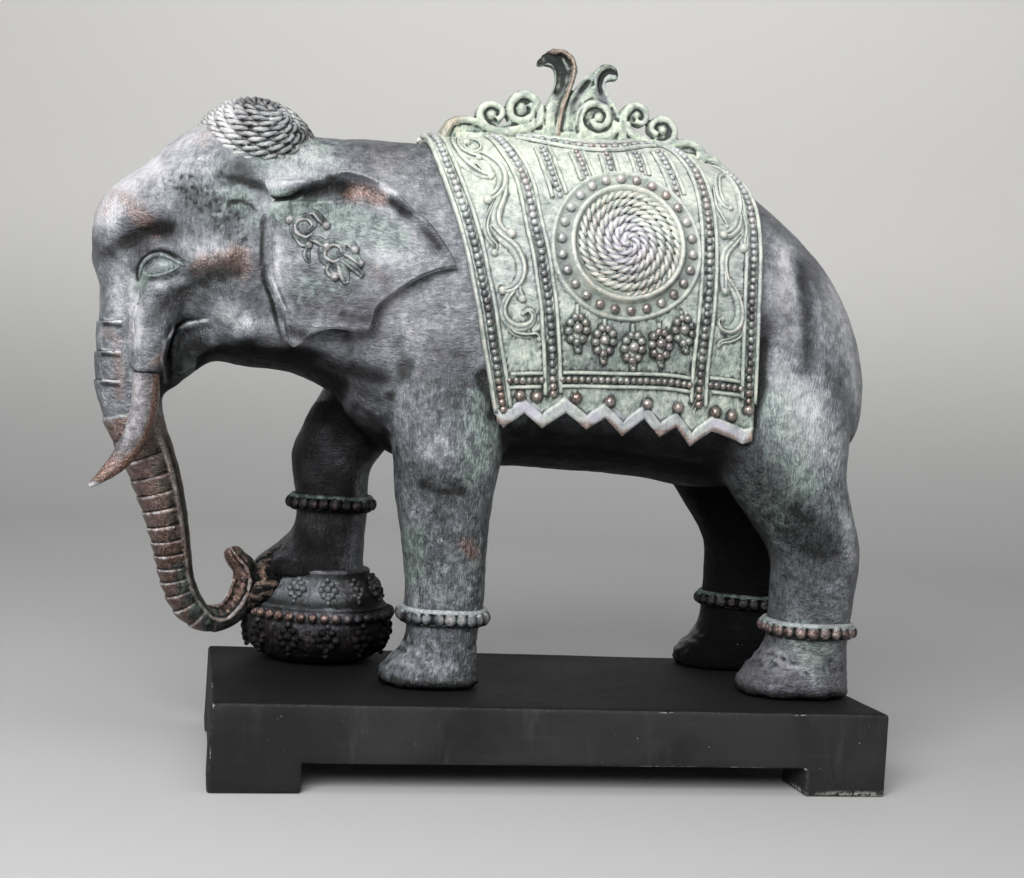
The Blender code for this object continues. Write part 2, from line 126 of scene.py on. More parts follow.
def smoothRows(rows, steps=3):
    # Catmull-Rom rows between the given rows, so that a profile has no corners
    table = np.array(rows, float)
    padded = np.concatenate([[2 * table[0] - table[1]], table, [2 * table[-1] - table[-2]]])
    made = []
    for i in range(len(table) - 1):
        a, b, c, d = padded[i:i + 4]
        for t in np.arange(steps) / steps:
            made.append(0.5 * (2 * b + (c - a) * t + (2 * a - 5 * b + 4 * c - d) * t ** 2
                + (3 * b - a - 3 * c + d) * t ** 3))
    return np.array(made + [table[-1]])


def lengthAlong(points):
    # how far each point of a path lies from its start
    return np.concatenate([[0], np.cumsum(np.linalg.norm(np.diff(points, axis=0), axis=1))])


def evenPath(rows, spacing, measured=2, steps=10):
    # the smooth curve through rows, cut into equal lengths; only the first columns are measured
    curve = smoothRows(rows, steps)
    length = lengthAlong(curve[:, :measured])
    wanted = np.linspace(0, length[-1], max(2, round(length[-1] / spacing) + 1))
    return np.stack([np.interp(wanted, length, column) for column in curve.T], axis=1)


def ease(values, low, high):
    # 0 below low, 1 above high, smooth between; low may be above high
    t = np.clip((np.asarray(values, float) - low) / (high - low), 0, 1)
    return t * t * (3 - 2 * t)


def around(count, closed=True):
    # angles of a full circle, with the first one again at the end where closed
    return np.linspace(0, tau, count + closed, endpoint=closed)


def loft(bm, sections, sides=32):
    # bridged rings; a section is centre, across, up, half across, half up, power, pear
    rings = []
    for centre, across, up, halfAcross, halfUp, power, pear in sections:
        verts = bmesh.ops.create_circle(bm, segments=sides, radius=1.0)["verts"]
        rings.append(list({edge: None for vert in verts for edge in vert.link_edges}))
        for vert in verts:
            c = copysign(abs(vert.co.x) ** (2 / power), vert.co.x)
            s = copysign(abs(vert.co.y) ** (2 / power), vert.co.y)
            vert.co = centre + across * (halfAcross * c * (1 - pear * vert.co.y)) + up * (halfUp * s)
    for near, far in zip(rings, rings[1:]):
        bmesh.ops.bridge_loops(bm, edges=near + far)
    for end in (rings[0], rings[-1]):
        bmesh.ops.contextual_create(bm, geom=end)


def slices(rows, power=2.3, pear=0.0):
    # upright sections: x, top, bottom, half width
    return [(Vector((x, 0, (top + bottom) / 2)), acrossAxis, upAxis, half, (top - bottom) / 2, power, pear)
        for x, top, bottom, half in smoothRows(rows)]


def levels(rows, power=2.3):
    # level sections of a leg: x, y, z, half thickness, half width
    return [(Vector((x, y, z)), acrossAxis, alongAxis, wide, thick, power, 0.0)
        for x, y, z, thick, wide in smoothRows(rows)]


def squareTo(table, i):
    # two directions square to a path at its row i, the first of them lying across
    line = Vector(table[min(i + 1, len(table) - 1)][:3] - table[max(i - 1, 0)][:3]).normalized()
    side = (acrossAxis - line * acrossAxis.dot(line)).normalized()
    return side, side.cross(line)


def limb(rows, power=2.1, steps=3):
    # sections square to their own line: x, y, z, half thickness, half width
    table = smoothRows(rows, steps)
    made = []
    for i, (x, y, z, thick, wide) in enumerate(table):
        made.append((Vector((x, y, z)), *squareTo(table, i), wide, thick, power, 0.0))
    return made


def mirroredRows(rows):
    return [(row[0], -row[1], *row[2:]) for row in rows]


def sheet(bm, places):
    # a grid shaped to a table of places: rows, columns, xyz
    rows, columns = places.shape[:2]
    for vert in bmesh.ops.create_grid(bm, x_segments=columns - 1, y_segments=rows - 1, size=0.5)["verts"]:
        column, row = round((vert.co.x + 0.5) * (columns - 1)), round((vert.co.y + 0.5) * (rows - 1))
        vert.co = places[row, column]


def closedSheet(bm, rings, ends):
    # rings drawn together in a point at each end
    first, last = (np.repeat(end[None, None], rings.shape[1], axis=1) for end in ends)
    sheet(bm, np.concatenate([first, rings, last]))


def facingOut(bm):
    bmesh.ops.recalc_face_normals(bm, faces=bm.faces)


def openEdges(bm):
    return [edge for edge in bm.edges if edge.is_boundary]


def sliced(bm, place, way, **settings):
    # cut through by the plane at place, square to way
    return bmesh.ops.bisect_plane(bm, geom=bm.verts[:] + bm.edges[:] + bm.faces[:], plane_co=place, plane_no=way,
        **settings)


def turned(bm, outline, x, y, steps):
    # an outline of radius and height, turned about an upright line
    line = [bm.verts.new((x + radius, y, z)) for radius, z in outline]
    for low, high in zip(line, line[1:]):
        bm.edges.new((low, high))
    bmesh.ops.spin(bm, geom=bm.verts[:] + bm.edges[:], cent=(x, y, 0), axis=(0, 0, 1), angle=tau, steps=steps,
        use_merge=True)


def welded(bm):
    bmesh.ops.remove_doubles(bm, verts=bm.verts, dist=weldReach)
    bmesh.ops.dissolve_degenerate(bm, dist=weldReach, edges=bm.edges)
    facingOut(bm)


def weldedMesh(bm):
    welded(bm)
    return meshFrom(bm)


def meshFrom(bm, name="shape"):
    mesh = bpy.data.meshes.new(name)
    bm.to_mesh(mesh)
    bm.free()
    return mesh


def placed(name, content):
    # an object of the scene that shows a mesh, a light or a camera
    made = bpy.data.objects.new(name, content)
    bpy.context.scene.collection.objects.link(made)
    return made


def shapedBy(mesh, modifiers, group=()):
    # the mesh after a row of modifiers, (kind, settings); group lists the points that "covered" holds
    carrier = placed("carrier", mesh)
    if len(group):
        carrier.vertex_groups.new(name="covered").add(group.tolist(), 1.0, "REPLACE")
    for kind, settings in modifiers:
        modifier = carrier.modifiers.new(kind, kind)
        for name, value in settings.items():
            setattr(modifier, name, value)
    made = bpy.data.meshes.new_from_object(carrier.evaluated_get(bpy.context.evaluated_depsgraph_get()))
    bpy.data.objects.remove(carrier)
    return made


def vectors(items, field):
    flat = np.zeros(len(items) * 3, np.float32)
    items.foreach_get(field, flat)
    return flat.reshape(-1, 3).astype(float)


def places(mesh):
    return vectors(mesh.vertices, "co")


def outward(mesh):
    return vectors(mesh.vertex_normals, "vector")


def surfaceOf(mesh):
    # places, outward ways, then the three columns of the places
    here = places(mesh)
    return here, outward(mesh), *here.T


def movePlaces(mesh, moved):
    mesh.vertices.foreach_set("co", np.asarray(moved, np.float32).ravel())
    mesh.update()


def roughen(mesh, *grains, where=1.0):
    # soft lumps: a size, a seed and a height each
    here = places(mesh)
    push = sum(lumps(here, size, seed) * height for size, seed, height in grains)
    movePlaces(mesh, here + outward(mesh) * push[:, None] * where)


def relaxed(values, mesh, rounds):
    # each value averaged with its neighbours' a number of times
    edges = np.zeros(len(mesh.edges) * 2, np.int32)
    mesh.edges.foreach_get("vertices", edges)
    a, b = edges[0::2], edges[1::2]
    count = len(mesh.vertices)
    degree = np.maximum(np.bincount(a, minlength=count) + np.bincount(b, minlength=count), 1)
    values = np.array(values, float).reshape(count, -1)
    for _ in range(rounds):
        for column in range(values.shape[1]):
            line = values[:, column]
            total = np.bincount(a, line[b], count) + np.bincount(b, line[a], count)
            values[:, column] = 0.4 * line + 0.6 * total / degree
    return values


def toLine(points, line):
    # distance of each point to a polyline, and how far along it, from 0 to 1
    line = np.array(line, float)
    best = np.full(len(points), 1e9)
    share = np.zeros(len(points))
    for i, (start, end) in enumerate(zip(line, line[1:])):
        run = end - start
        t = np.clip(((points - start) @ run) / max(run @ run, 1e-12), 0, 1)
        gap = np.linalg.norm(points - start - t[:, None] * run, axis=1)
        nearer = gap < best
        best = np.where(nearer, gap, best)
        share = np.where(nearer, (i + t) / (len(line) - 1), share)
    return best, share


def lumps(points, size, seed=0.0):
    # soft noise at each point, about -1 to 1
    return np.array([noise.noise((Vector(p) / size) + Vector((seed, seed, seed))) for p in points])


def paint(mesh, **layers):
    # float attributes on the points of the surface, new or painted over
    for name, values in layers.items():
        layer = mesh.attributes.get(name) or mesh.attributes.new(name, "FLOAT", "POINT")
        layer.data.foreach_set("value", np.asarray(values, np.float32).ravel())


def painted(mesh, name):
    # what is painted on the mesh so far
    now = np.zeros(len(mesh.vertices), np.float32)
    if name in mesh.attributes:
        mesh.attributes[name].data.foreach_get("value", now)
    return now


def hollows(mesh, rounds, size):
    # above 0 in a hollow, below 0 on a ridge, in units of size mm
    here = places(mesh)
    return ((relaxed(here, mesh, rounds) - here) * outward(mesh)).sum(axis=1) / size


pieceCount = {"triangles": 0}


def addPiece(mesh, name, material=None, replaced=None, smooth=True):
    # carries the mesh into the frame, puts it under the root, hides the part it replaces and counts its triangles;
    # slate where no other finish is given
    mesh.transform(toFrame)
    mesh.name = name
    mesh.materials.clear()
    mesh.materials.append(material or slate)
    if smooth is True:
        mesh.shade_smooth()
    elif smooth:
        mesh.shade_smooth()
        mesh.set_sharp_from_angle(angle=radians(smooth))
    piece = placed(name, mesh)
    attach(piece, "root")
    if replaced:
        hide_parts(replaced)
    count = sum(len(face.vertices) - 2 for face in mesh.polygons)
    pieceCount["triangles"] += count
    print(f"{name}: {count} triangles")
    return piece


# Finishes

def surface(name):
    # an empty material with a Principled shader: its sums, the place on the piece, the shader
    material = bpy.data.materials.new(name)
    material.use_nodes = True
    tree = material.node_tree
    sums = Shade(tree)
    return material, sums, sums.node("TexCoord", output=3), tree.nodes["Principled BSDF"]


def plug(shader, **sockets):
    # colour, roughness and the rest onto the shader, a link or a plain value each
    for name, value in sockets.items():
        socket = shader.inputs[name.replace("_", " ")]
        if isinstance(value, Shade):
            value.tree.links.new(value.socket, socket)
        else:
            socket.default_value = value


def patina(name, look):
    # cast resin painted as old bronze: cloudy slate, rubbed ridges, dirt and green in the hollows; the pale and dark
    # attributes add painted highlights and painted shade as well as lighter and darker patina
    material, sums, spot, shader = surface(name)
    hollow, green, warm, dark, pale, mauve = map(sums.attribute, ("hollow", "green", "warm", "dark", "pale", "mauve"))
    size = look["grain"]
    cloud = spot.noise(look["cloud"], 5, 0.6, 0.6) - 0.5
    drift = spot.noise(look["cloud"] * 0.4, 3, 0.5, 0.5)
    mottle = spot.noise(look["mottle"], 6, 0.68, 0.3) - 0.5
    grain = spot.noise(size, 3, 0.6) - 0.5
    down = spot.stretched((size * 0.5, size * 0.5, size * 0.13), (0.35, 0.25, 0)).noise(1.0, 4, 0.6, 1.6)
    along = spot.stretched((size * 0.13, size * 0.45, size * 0.45), (0.2, -0.6, 0.3)).noise(1.0, 4, 0.6, 1.6)
    stroke = down + (along - down) * drift.step(0.44, 0.58) - 0.5
    speck = spot.noise(size * 0.5, 1, 0.5)
    hammer = spot.noise(size * 0.2, 6, 0.68, 0.25) - 0.5
    # the legs keep the marks of the modelling tool
    tooled = sums.node("SeparateXYZ", {}, {"Vector": spot}, output=2).step(0.27, 0.19) * look["tooled"]

    shade = (
        cloud * look["cloudy"] + mottle * look["mottled"] + stroke * look["stroked"] + hammer * 0.35
        + tooled * (stroke * 0.4 + hammer * 0.35 + 0.05) + (pale - dark) * 0.34 - hollow * 0.10 + 0.5)
    colour = sums.node("ValToRGB", {"stops": look["stops"]}, {0: shade})
    colour = mixed(colour, look["lilac"], (drift + stroke * 0.5).step(0.42, 0.7) * 0.28 + mauve)
    greenish = (mottle * 0.9 + cloud * 0.7 + stroke * 0.6 + green * 1.1 + hollow * look["greenHollow"]
        + look["greenAll"]).step(0.12, 0.62)
    colour = mixed(colour, mixed(look["greenDeep"], look["greenPale"], (stroke + mottle).step(-0.15, 0.2)),
        greenish * look["greenMost"])
    rubbed = ((0 - hollow) * look["rub"] + warm * 0.9 + mottle * 0.8 + grain * 0.5 + look["warmAll"]).step(0.16, 0.75)
    colour = mixed(colour, mixed(look["copperDeep"], look["copperPale"], (grain + stroke).step(-0.15, 0.22)),
        rubbed * look["rubMost"])
    # near black: dirt in the hollows and, through the dark attribute, dark patina and painted shade
    colour = mixed(colour, look["dirtAndShade"], (hollow * look["grimeHollow"] + dark * 0.75 + cloud * 0.4 + mottle * 0.3
        + stroke * 0.4).step(0.15, 0.95) * look["dirtAndShadeMost"])
    edge = ((0 - hollow) - 0.4 + grain * 0.9 + mottle * 0.8 - warm * 0.6 - dark * 0.9).step(0.0, 0.8)
    colour = mixed(colour, look["edge"], edge * look["edgeMost"])
    colour = mixed(colour, (0.62, 0.62, 0.58, 1), speck.step(0.80, 0.82) * cloud.step(-0.02, 0.1) * look["specks"])
    relief = (
        mottle * 0.6 + grain * 0.25 + stroke * 0.9 + hammer * 0.8 + cloud * 0.5
        + tooled * (stroke * 0.8 + hammer * 1.1))
    bump = sums.node("Bump", {}, {"Strength": look["bump"], "Distance": 0.0012, "Height": relief})
    # more metallic under painted shade so that it goes darker, less under painted highlights so that they stay bright
    metallic = (rubbed * 0.35 + dark * 0.55 - pale * 0.25 + look["metal"]).clamped()
    rough = (greenish * 0.15 - rubbed * 0.1 + mottle * 0.3 + stroke * 0.25 + dark * 0.18 + look["rough"]).clamped()
    plug(shader, Base_Color=colour, Normal=bump, Metallic=metallic, Roughness=rough, Specular_IOR_Level=look["shine"])
    return material


def grey(value, blue=0.0, red=0.0):
    return (value + red, value, value + blue, 1)


slateLook = {
    "cloud": 17, "mottle": 150, "grain": 900, "bump": 1.0, "rough": 0.36, "metal": 0.35, "specks": 0.8, "shine": 0.8,
    "tooled": 0.0, "cloudy": 0.55, "mottled": 0.6, "stroked": 0.32,
    "stops": ((0.2, grey(0.016, 0.002)), (0.42, grey(0.089, 0.010, -0.008)), (0.56, grey(0.192, 0.018, -0.015)),
        (0.88, grey(0.61, 0.03, 0.006))),
    "lilac": (0.20, 0.178, 0.215, 1), "greenDeep": (0.075, 0.105, 0.095, 1), "greenPale": (0.33, 0.42, 0.37, 1),
    "greenAll": 0.05, "greenMost": 0.55, "greenHollow": 0.08, "copperDeep": (0.16, 0.085, 0.065, 1),
    "copperPale": (0.52, 0.33, 0.26, 1), "warmAll": 0.02, "rub": 0.25, "rubMost": 0.5,
    "dirtAndShade": (0.008, 0.008, 0.008, 1), "grimeHollow": 0.9, "dirtAndShadeMost": 0.955, "edge": (0.50, 0.50, 0.485, 1),
    "edgeMost": 0.5}
verdigrisLook = dict(
    slateLook, rough=0.46, metal=0.08, bump=0.55, specks=0.2, cloudy=0.35, mottled=0.8, stroked=0.5,
    stops=((0.2, (0.04, 0.052, 0.047, 1)), (0.42, (0.205, 0.245, 0.22, 1)), (0.58, (0.40, 0.44, 0.385, 1)),
        (0.88, (0.74, 0.75, 0.64, 1))),
    shine=0.5, lilac=(0.44, 0.42, 0.49, 1), greenDeep=(0.20, 0.27, 0.22, 1), greenPale=(0.58, 0.66, 0.49, 1),
    greenAll=0.1, rub=0.3, warmAll=-0.1, rubMost=0.75, grimeHollow=1.25, dirtAndShadeMost=0.95,
    copperDeep=(0.13, 0.075, 0.058, 1), copperPale=(0.46, 0.33, 0.275, 1), dirtAndShade=(0.014, 0.017, 0.015, 1),
    edge=(0.70, 0.70, 0.63, 1))
slate = patina("patinated_resin", slateLook)
tooledHide = patina("tooled_resin", dict(slateLook, tooled=0.75))
glossy = patina("rubbed_resin", dict(slateLook, rough=0.24, metal=0.12, bump=0.3, shine=1.0))
verdigris = patina("verdigris_resin", verdigrisLook)

# Hide: barrel, head, jaw and legs blended into one skin

hideForm = {"voxel": 2.98, "smoothing": 8, "pear": 0.08, "kept": 0.9}
# x, top, bottom, half width
barrelRows = [
    (-152, 385, 262, 40), (-135, 404, 226, 53), (-105, 408, 200, 64), (-60, 412, 195, 70), (0, 418, 196, 73),
    (60, 419, 194, 74), (105, 408, 189, 74), (140, 391, 190, 72), (166, 371, 196, 68), (188, 351, 203, 62),
    (204, 329, 210, 53), (215, 300, 219, 42), (221.5, 274, 232, 24)]
skullRows = [
    (-95, 406, 262, 56), (-130, 407, 258, 53), (-165, 405, 262, 52), (-195, 406, 268, 53), (-220, 409, 268, 52),
    (-240, 407, 270, 48), (-257, 395, 276, 43), (-274, 378, 284, 37), (-288, 366, 290, 31), (-298, 357, 298, 24),
    (-304, 346, 312, 14)]
jawRows = [
    (-110, 300, 222, 46), (-145, 300, 238, 44), (-175, 300, 250, 41), (-205, 300, 252, 36), (-225, 296, 254, 29),
    (-238, 288, 244, 21), (-250, 278, 233, 14), (-257, 262, 230, 8)]
# x, y, z, half thickness, half width
trunkRows = [
    (-276, 0, 335, 20, 30), (-277, 0, 305, 21, 27), (-277, 0, 277, 21, 23), (-278, 0, 250, 21, 20),
    (-276, 0, 228, 20.5, 18), (-270, 1, 209, 18.5, 17), (-261, 2, 189, 17, 16), (-254, 4, 170, 15.8, 15.5),
    (-247.5, 6, 148, 14, 14), (-242.5, 9, 126, 12.4, 12.5), (-238.5, 12, 108, 11.4, 11.6), (-231, 15, 92, 10.8, 11.2),
    (-220, 18, 81.5, 10.2, 11.2), (-208, 21, 80.5, 10.8, 11.8), (-199, 24, 89, 12.2, 12.5),
    (-195.5, 26, 103, 11.4, 12.5), (-196.5, 27, 117, 9.5, 11.5), (-199, 27, 125, 7, 9)]
sheathRows = [
    (-238, -27, 335, 10, 9), (-252, -30, 315, 13, 13), (-258, -31, 290, 12.5, 12.5), (-263, -31, 265, 11.5, 11.5),
    (-265, -30, 243.5, 10, 10)]
leftForeleg = [
    (-78, -28, 300, 42, 34), (-76, -35, 262, 41, 33), (-75, -39, 232, 39, 31), (-72.5, -42, 206, 36, 29),
    (-73.5, -43, 173, 31.3, 27), (-71, -43, 145, 28, 26.5), (-69, -43, 118, 26.2, 26), (-69, -43, 104, 25.5, 25.5),
    (-69, -43, 90, 23.5, 24), (-70, -43, 79, 24.5, 25), (-73, -43, 71, 29, 27), (-76, -43, 62, 32.5, 28.5),
    (-76, -43, standZ, 33.5, 28.5)]
rightThigh = [
    (-82, 28, 292, 40, 34), (-104, 34, 256, 35, 32), (-120, 39, 229, 31, 30), (-132, 42, 209, 29, 28),
    (-139.5, 43, 190, 26, 26)]
rightShin = [
    (-133, 42, 214, 27, 26), (-138.5, 43, 199, 28.5, 27.5), (-139.5, 43, 182, 26.5, 26), (-137.5, 43, 165, 25, 25),
    (-137, 43, 152, 24.5, 25), (-139, 43, 141, 25.5, 26), (-144, 43, 130, 31, 28), (-150, 43, 121, 37, 31),
    (-150, 43, 112, 40, 33)]
leftHindleg = [
    (147, -31, 300, 60, 36), (149, -37, 262, 58, 35), (153, -42, 232, 53, 34), (157, -46, 206, 46, 32.5),
    (165.5, -49, 185, 40, 30), (176, -51, 165, 35.5, 28), (183, -52, 147, 31, 26.5), (182.5, -52, 124, 28.5, 26),
    (181.5, -52, 105, 27.5, 26), (181, -52, 90, 27.5, 26), (178.5, -52, 78, 31, 27), (173.5, -52, 68, 36.5, 28),
    (172.5, -52, 60, 38.5, 28.5), (173, -52, standZ, 38, 28)]
rightHindleg = [(x - 10, -y - 2, *rest) for x, y, *rest in leftHindleg]


def formHide():
    bm = bmesh.new()
    for sections in (slices(barrelRows, pear=hideForm["pear"]), slices(skullRows), slices(jawRows, 2.0),
            levels(leftForeleg), limb(rightThigh), levels(rightShin), levels(leftHindleg), levels(rightHindleg),
            limb(trunkRows[:6]), limb(sheathRows), limb(mirroredRows(sheathRows))):
        loft(bm, sections)
    facingOut(bm)
    return shapedBy(meshFrom(bm), (("REMESH", {"mode": "VOXEL", "voxel_size": hideForm["voxel"]}),
        ("SMOOTH", {"factor": 0.5, "iterations": hideForm["smoothing"]})))


hide = formHide()


def treeOf(mesh):
    bm = bmesh.new()
    bm.from_mesh(mesh)
    tree = BVHTree.FromBMesh(bm)
    bm.free()
    return tree


bareHide = treeOf(hide)
print("hide formed:", len(hide.polygons), "faces")


# Saddle cloth: a map of each flank, x along it and s down from the ridge

flankForm = {
    "firstX": -126, "lastX": 136, "step": 2.0, "drop": 246, "axisZ": 312, "cling": 78, "lowest": 200, "lean": 0.10,
    "clear": 1.0, "thickness": 5.0, "proud": 4.5, "far": 260, "rounds": 10}


def layFlank(side):
    # points of the hide down one flank, then hanging nearly straight below its widest level
    form = flankForm
    columns = []
    for x in np.arange(form["firstX"], form["lastX"] + 0.1, form["step"]):
        line = []
        for angle in np.radians(np.arange(0, form["cling"], 1.5)):
            out = Vector((0, side * sin(angle), cos(angle)))
            hit = bareHide.ray_cast(Vector((x, 0, form["axisZ"])) + out * form["far"], -out)[0]
            line.append((abs(hit.y), hit.z))
        line[0] = (0.0, line[0][1])
        widest = 0.0
        widestZ = line[-1][1]
        for z in np.arange(line[-1][1] - 2, form["lowest"], -2):
            hit = bareHide.ray_cast(Vector((x, side * form["far"], z)), Vector((0, -side, 0)))[0]
            body = abs(hit.y) if hit is not None and hit.y * side > 0 else 0.0
            widest = max(widest - form["lean"] * 2, body + form["clear"] * min(1, (widestZ - z) / 30))
            line.append((widest, z))
        line = np.array(line)
        length = lengthAlong(line)
        wanted = np.arange(0, form["drop"] + 0.1, form["step"])
        columns.append(np.stack([np.full(len(wanted), x), side * np.interp(wanted, length, line[:, 0]),
            np.interp(wanted, length, line[:, 1])], axis=1))
    table = np.array(columns)
    for _ in range(form["rounds"]):
        calm = table.copy()
        calm[1:-1] = 0.5 * table[1:-1] + 0.25 * (table[2:] + table[:-2])
        calm[:, 1:-1] = 0.5 * calm[:, 1:-1] + 0.25 * (calm[:, 2:] + calm[:, :-2])
        calm[:, :, 0] = table[:, :, 0]
        calm[:, 0, 1] = 0
        table = calm
    ways = np.cross(np.gradient(table, axis=0), np.gradient(table, axis=1)) * side
    ways[:, 0, 1] = 0
    return table, ways / np.linalg.norm(ways, axis=2, keepdims=True)


flanks = {side: layFlank(side) for side in (-1, 1)}


def alike(*values):
    # numbers and arrays as arrays of one shape
    return np.broadcast_arrays(*(np.asarray(value, float) for value in values))


def onFlank(side, x, s, height):
    # the place over the flank at x and s, raised by height from the cloth's face
    x, s, height = alike(x, s, height)
    table, ways = flanks[side]
    i = np.clip((x - flankForm["firstX"]) / flankForm["step"], 0, table.shape[0] - 1.001)
    j = np.clip(s / flankForm["step"], 0, table.shape[1] - 1.001)
    column, row = i.astype(int), j.astype(int)
    a, b = (i - column)[..., None], (j - row)[..., None]

    def between(field):
        return ((1 - a) * (1 - b) * field[column, row] + a * (1 - b) * field[column + 1, row]
            + (1 - a) * b * field[column, row + 1] + a * b * field[column + 1, row + 1])
    way = between(ways)
    way /= np.linalg.norm(way, axis=-1, keepdims=True)
    return between(table) + way * (height + flankForm["proud"])[..., None]


print("flanks laid")


# Swept and scattered shapes, used by all the ornament

# a strand of the rope: how far it lies from the rope's middle, its radius and the groove between two,
# as parts of the rope's radius
strandForm = {"away": 0.536, "thick": 0.464, "groove": 0.56}


def tube(bm, centres, ups, radii, sides=10, flat=1.0, lead=0.0, closed=False):
    # a round tube along centres, or a three-strand rope where lead, the length of one twist, is given
    centres = np.array(centres, float)
    ups = np.broadcast_to(np.array(ups, float), centres.shape).copy()
    radii = np.broadcast_to(np.array(radii, float), len(centres))
    if closed:
        along = np.roll(centres, -1, axis=0) - np.roll(centres, 1, axis=0)
    else:
        along = np.gradient(centres, axis=0)
    along /= np.linalg.norm(along, axis=1, keepdims=True)
    ups -= (ups * along).sum(axis=1, keepdims=True) * along
    ups /= np.linalg.norm(ups, axis=1, keepdims=True)
    across = np.cross(along, ups)
    angles = around(sides)
    size = np.repeat(radii[:, None], sides + 1, axis=1)
    if lead:
        strand = (angles[None, :] - tau * lengthAlong(centres)[:, None] / lead) % (tau / 3) - pi / 3
        away, thick, groove = strandForm["away"], strandForm["thick"], strandForm["groove"]
        inside = np.maximum(thick ** 2 - (away * np.sin(strand)) ** 2, 0)
        size = size * np.maximum(away * np.cos(strand) + np.sqrt(inside), groove)
    rings = (
        centres[:, None] + (size * np.cos(angles))[..., None] * across[:, None]
        + (size * flat * np.sin(angles))[..., None] * ups[:, None])
    if closed:
        sheet(bm, np.concatenate([rings, rings[:1]]))
    else:
        closedSheet(bm, rings, centres[[0, -1]])


def bead(bm, centre, up, radius, tall=1.0, sides=8, rows=6):
    # a small ball, its poles along up
    place = (
        Matrix.Translation(Vector(centre)) @ Vector(up).to_track_quat("Z", "Y").to_matrix().to_4x4()
        @ Matrix.Diagonal((1, 1, tall, 1)))
    bmesh.ops.create_uvsphere(bm, u_segments=sides, v_segments=rows, radius=radius, matrix=place)


def strip(bm, onto, rows, spacing=1.0, across=9, ridge=0.35, sink=1.4):
    # a moulded strip on any surface: u, v, half width, height; ridge above 0 gives it a sharp line
    path = evenPath(rows, spacing)
    u, v, half, tall = path[:, :4].T
    du, dv = np.gradient(u), np.gradient(v)
    run = np.hypot(du, dv)
    c = np.linspace(-1, 1, across)
    shape = (1 - ridge) * np.sqrt(np.clip(1 - c * c, 0, 1)) + ridge * np.exp(-((c - 0.4) / 0.28) ** 2)
    c = np.concatenate([c, [0.6, -0.6, -1]])
    shape = np.concatenate([shape, [-1, -1, 0]])
    high = np.where(shape[None, :] < 0, -sink, shape[None, :] * tall[:, None] - 0.25)
    rings = onto(u[:, None] + c * (dv / run * half)[:, None], v[:, None] - c * (du / run * half)[:, None], high)
    closedSheet(bm, rings, [onto(u[end], v[end], 0.0) for end in (0, -1)])
    return path


def relief(mesh, tree, height, low=0.75, high=-0.75):
    # paints ornament: dirt at its foot, rubbed at its top
    gap = np.array([tree.find_nearest(vert.co)[3] for vert in mesh.vertices])
    paint(mesh, hollow=low + (high - low) * np.clip(gap / height, 0, 1))


# Cloth, with its measures in x and s, the length down from the ridge

clothForm = {"rowsDown": 84, "columnsPerTooth": 8, "border": 9.0, "borderHeight": 1.3, "lump": 0.35}
frontEdge = [
    (-97, 0), (-94.7, 31), (-83.7, 65.7), (-76.6, 97), (-67.6, 127.2), (-60.8, 157), (-54.4, 187.5), (-47.6, 219),
    (-45, 240)]
rearEdge = [
    (113, 0), (116.5, 20), (120, 43), (123, 67), (122, 92), (121, 118), (121, 143), (122.2, 167), (124, 194),
    (124.5, 219), (124.5, 240)]
hemCorners = [
    (-47.2, 221.5), (-42.5, 225.9), (-29.6, 217.5), (-17.4, 228.2), (-2.8, 218.6), (11.5, 229.8), (23.2, 222.4),
    (35.5, 233.9), (49.1, 221.7), (60.5, 232.2), (71.2, 223.7), (81.6, 233.8), (95.2, 219), (108, 218.5),
    (118, 217.5), (124.5, 213)]


def alongEdge(edge, s):
    curve = smoothRows(edge, 8)
    return np.interp(s, curve[:, 1], curve[:, 0])


def layCloth():
    form = clothForm
    nodes = np.array(hemCorners)
    steps = form["columnsPerTooth"]
    hemX = np.concatenate([np.linspace(a, b, steps, endpoint=False) for a, b in zip(nodes[:-1, 0], nodes[1:, 0])]
        + [nodes[-1:, 0]])
    hemS = np.interp(hemX, nodes[:, 0], nodes[:, 1])
    share = (hemX - alongEdge(frontEdge, hemS)) / (alongEdge(rearEdge, hemS) - alongEdge(frontEdge, hemS))
    share = (share - share[0]) / (share[-1] - share[0])
    fromHem = np.array([12, 10.8, 10, 9.3, 8.6, 7, 5, 3, 1.5, 0.6, 0])
    halves = []
    for side in (-1, 1):
        above = np.linspace(0, 1, form["rowsDown"], endpoint=False)[:, None] * (hemS - fromHem[0])
        s = np.concatenate([above, hemS - fromHem[:, None]])
        x = alongEdge(frontEdge, s) * (1 - share) + alongEdge(rearEdge, s) * share
        ledge = hemS - s
        height = form["borderHeight"] * ease(ledge, form["border"] + 1.6, form["border"] - 0.2)
        height -= 0.16 * np.exp(-((ledge - 5.6) / 0.8) ** 2) + 1.5 * ease(ledge, 2.0, 0.0)
        toEdge = np.minimum(x - alongEdge(frontEdge, s), alongEdge(rearEdge, s) - x)
        height -= 1.5 * ease(toEdge, 1.6, 0.0)
        halves.append(onFlank(side, x, s, height))
    grid = np.concatenate([halves[0][::-1], halves[1][1:]])
    bm = bmesh.new()
    sheet(bm, grid)
    mesh = meshFrom(bm)
    if np.mean(outward(mesh)[:, 2]) < 0:
        mesh.flip_normals()
    roughen(mesh, (9, 0, form["lump"]), (3.2, 5, form["lump"] / 2))
    return mesh


cloth = layCloth()
clothTree = treeOf(cloth)
footprints = {-1: [], 1: []}       # x, s and reach of every ornament, where dirt gathers on the cloth


def flankWay(side, x, s):
    return onFlank(side, x, s, 1.0) - onFlank(side, x, s, 0.0)


def flankBead(bm, side, x, s, radius, sink=0.15, tall=0.85):
    bead(bm, onFlank(side, x, s, radius * (0.5 - sink)), flankWay(side, x, s), radius, tall)
    footprints[side].append((x, s, radius))


def flankBeads(bm, side, path, pitch, radius, jitter=0.12):
    # a row of beads, each a little off its place
    for x, s in evenPath(path, pitch):
        flankBead(bm, side, x + chance.normal(0, jitter), s + chance.normal(0, jitter),
            radius * (1 + chance.normal(0, 0.05)))


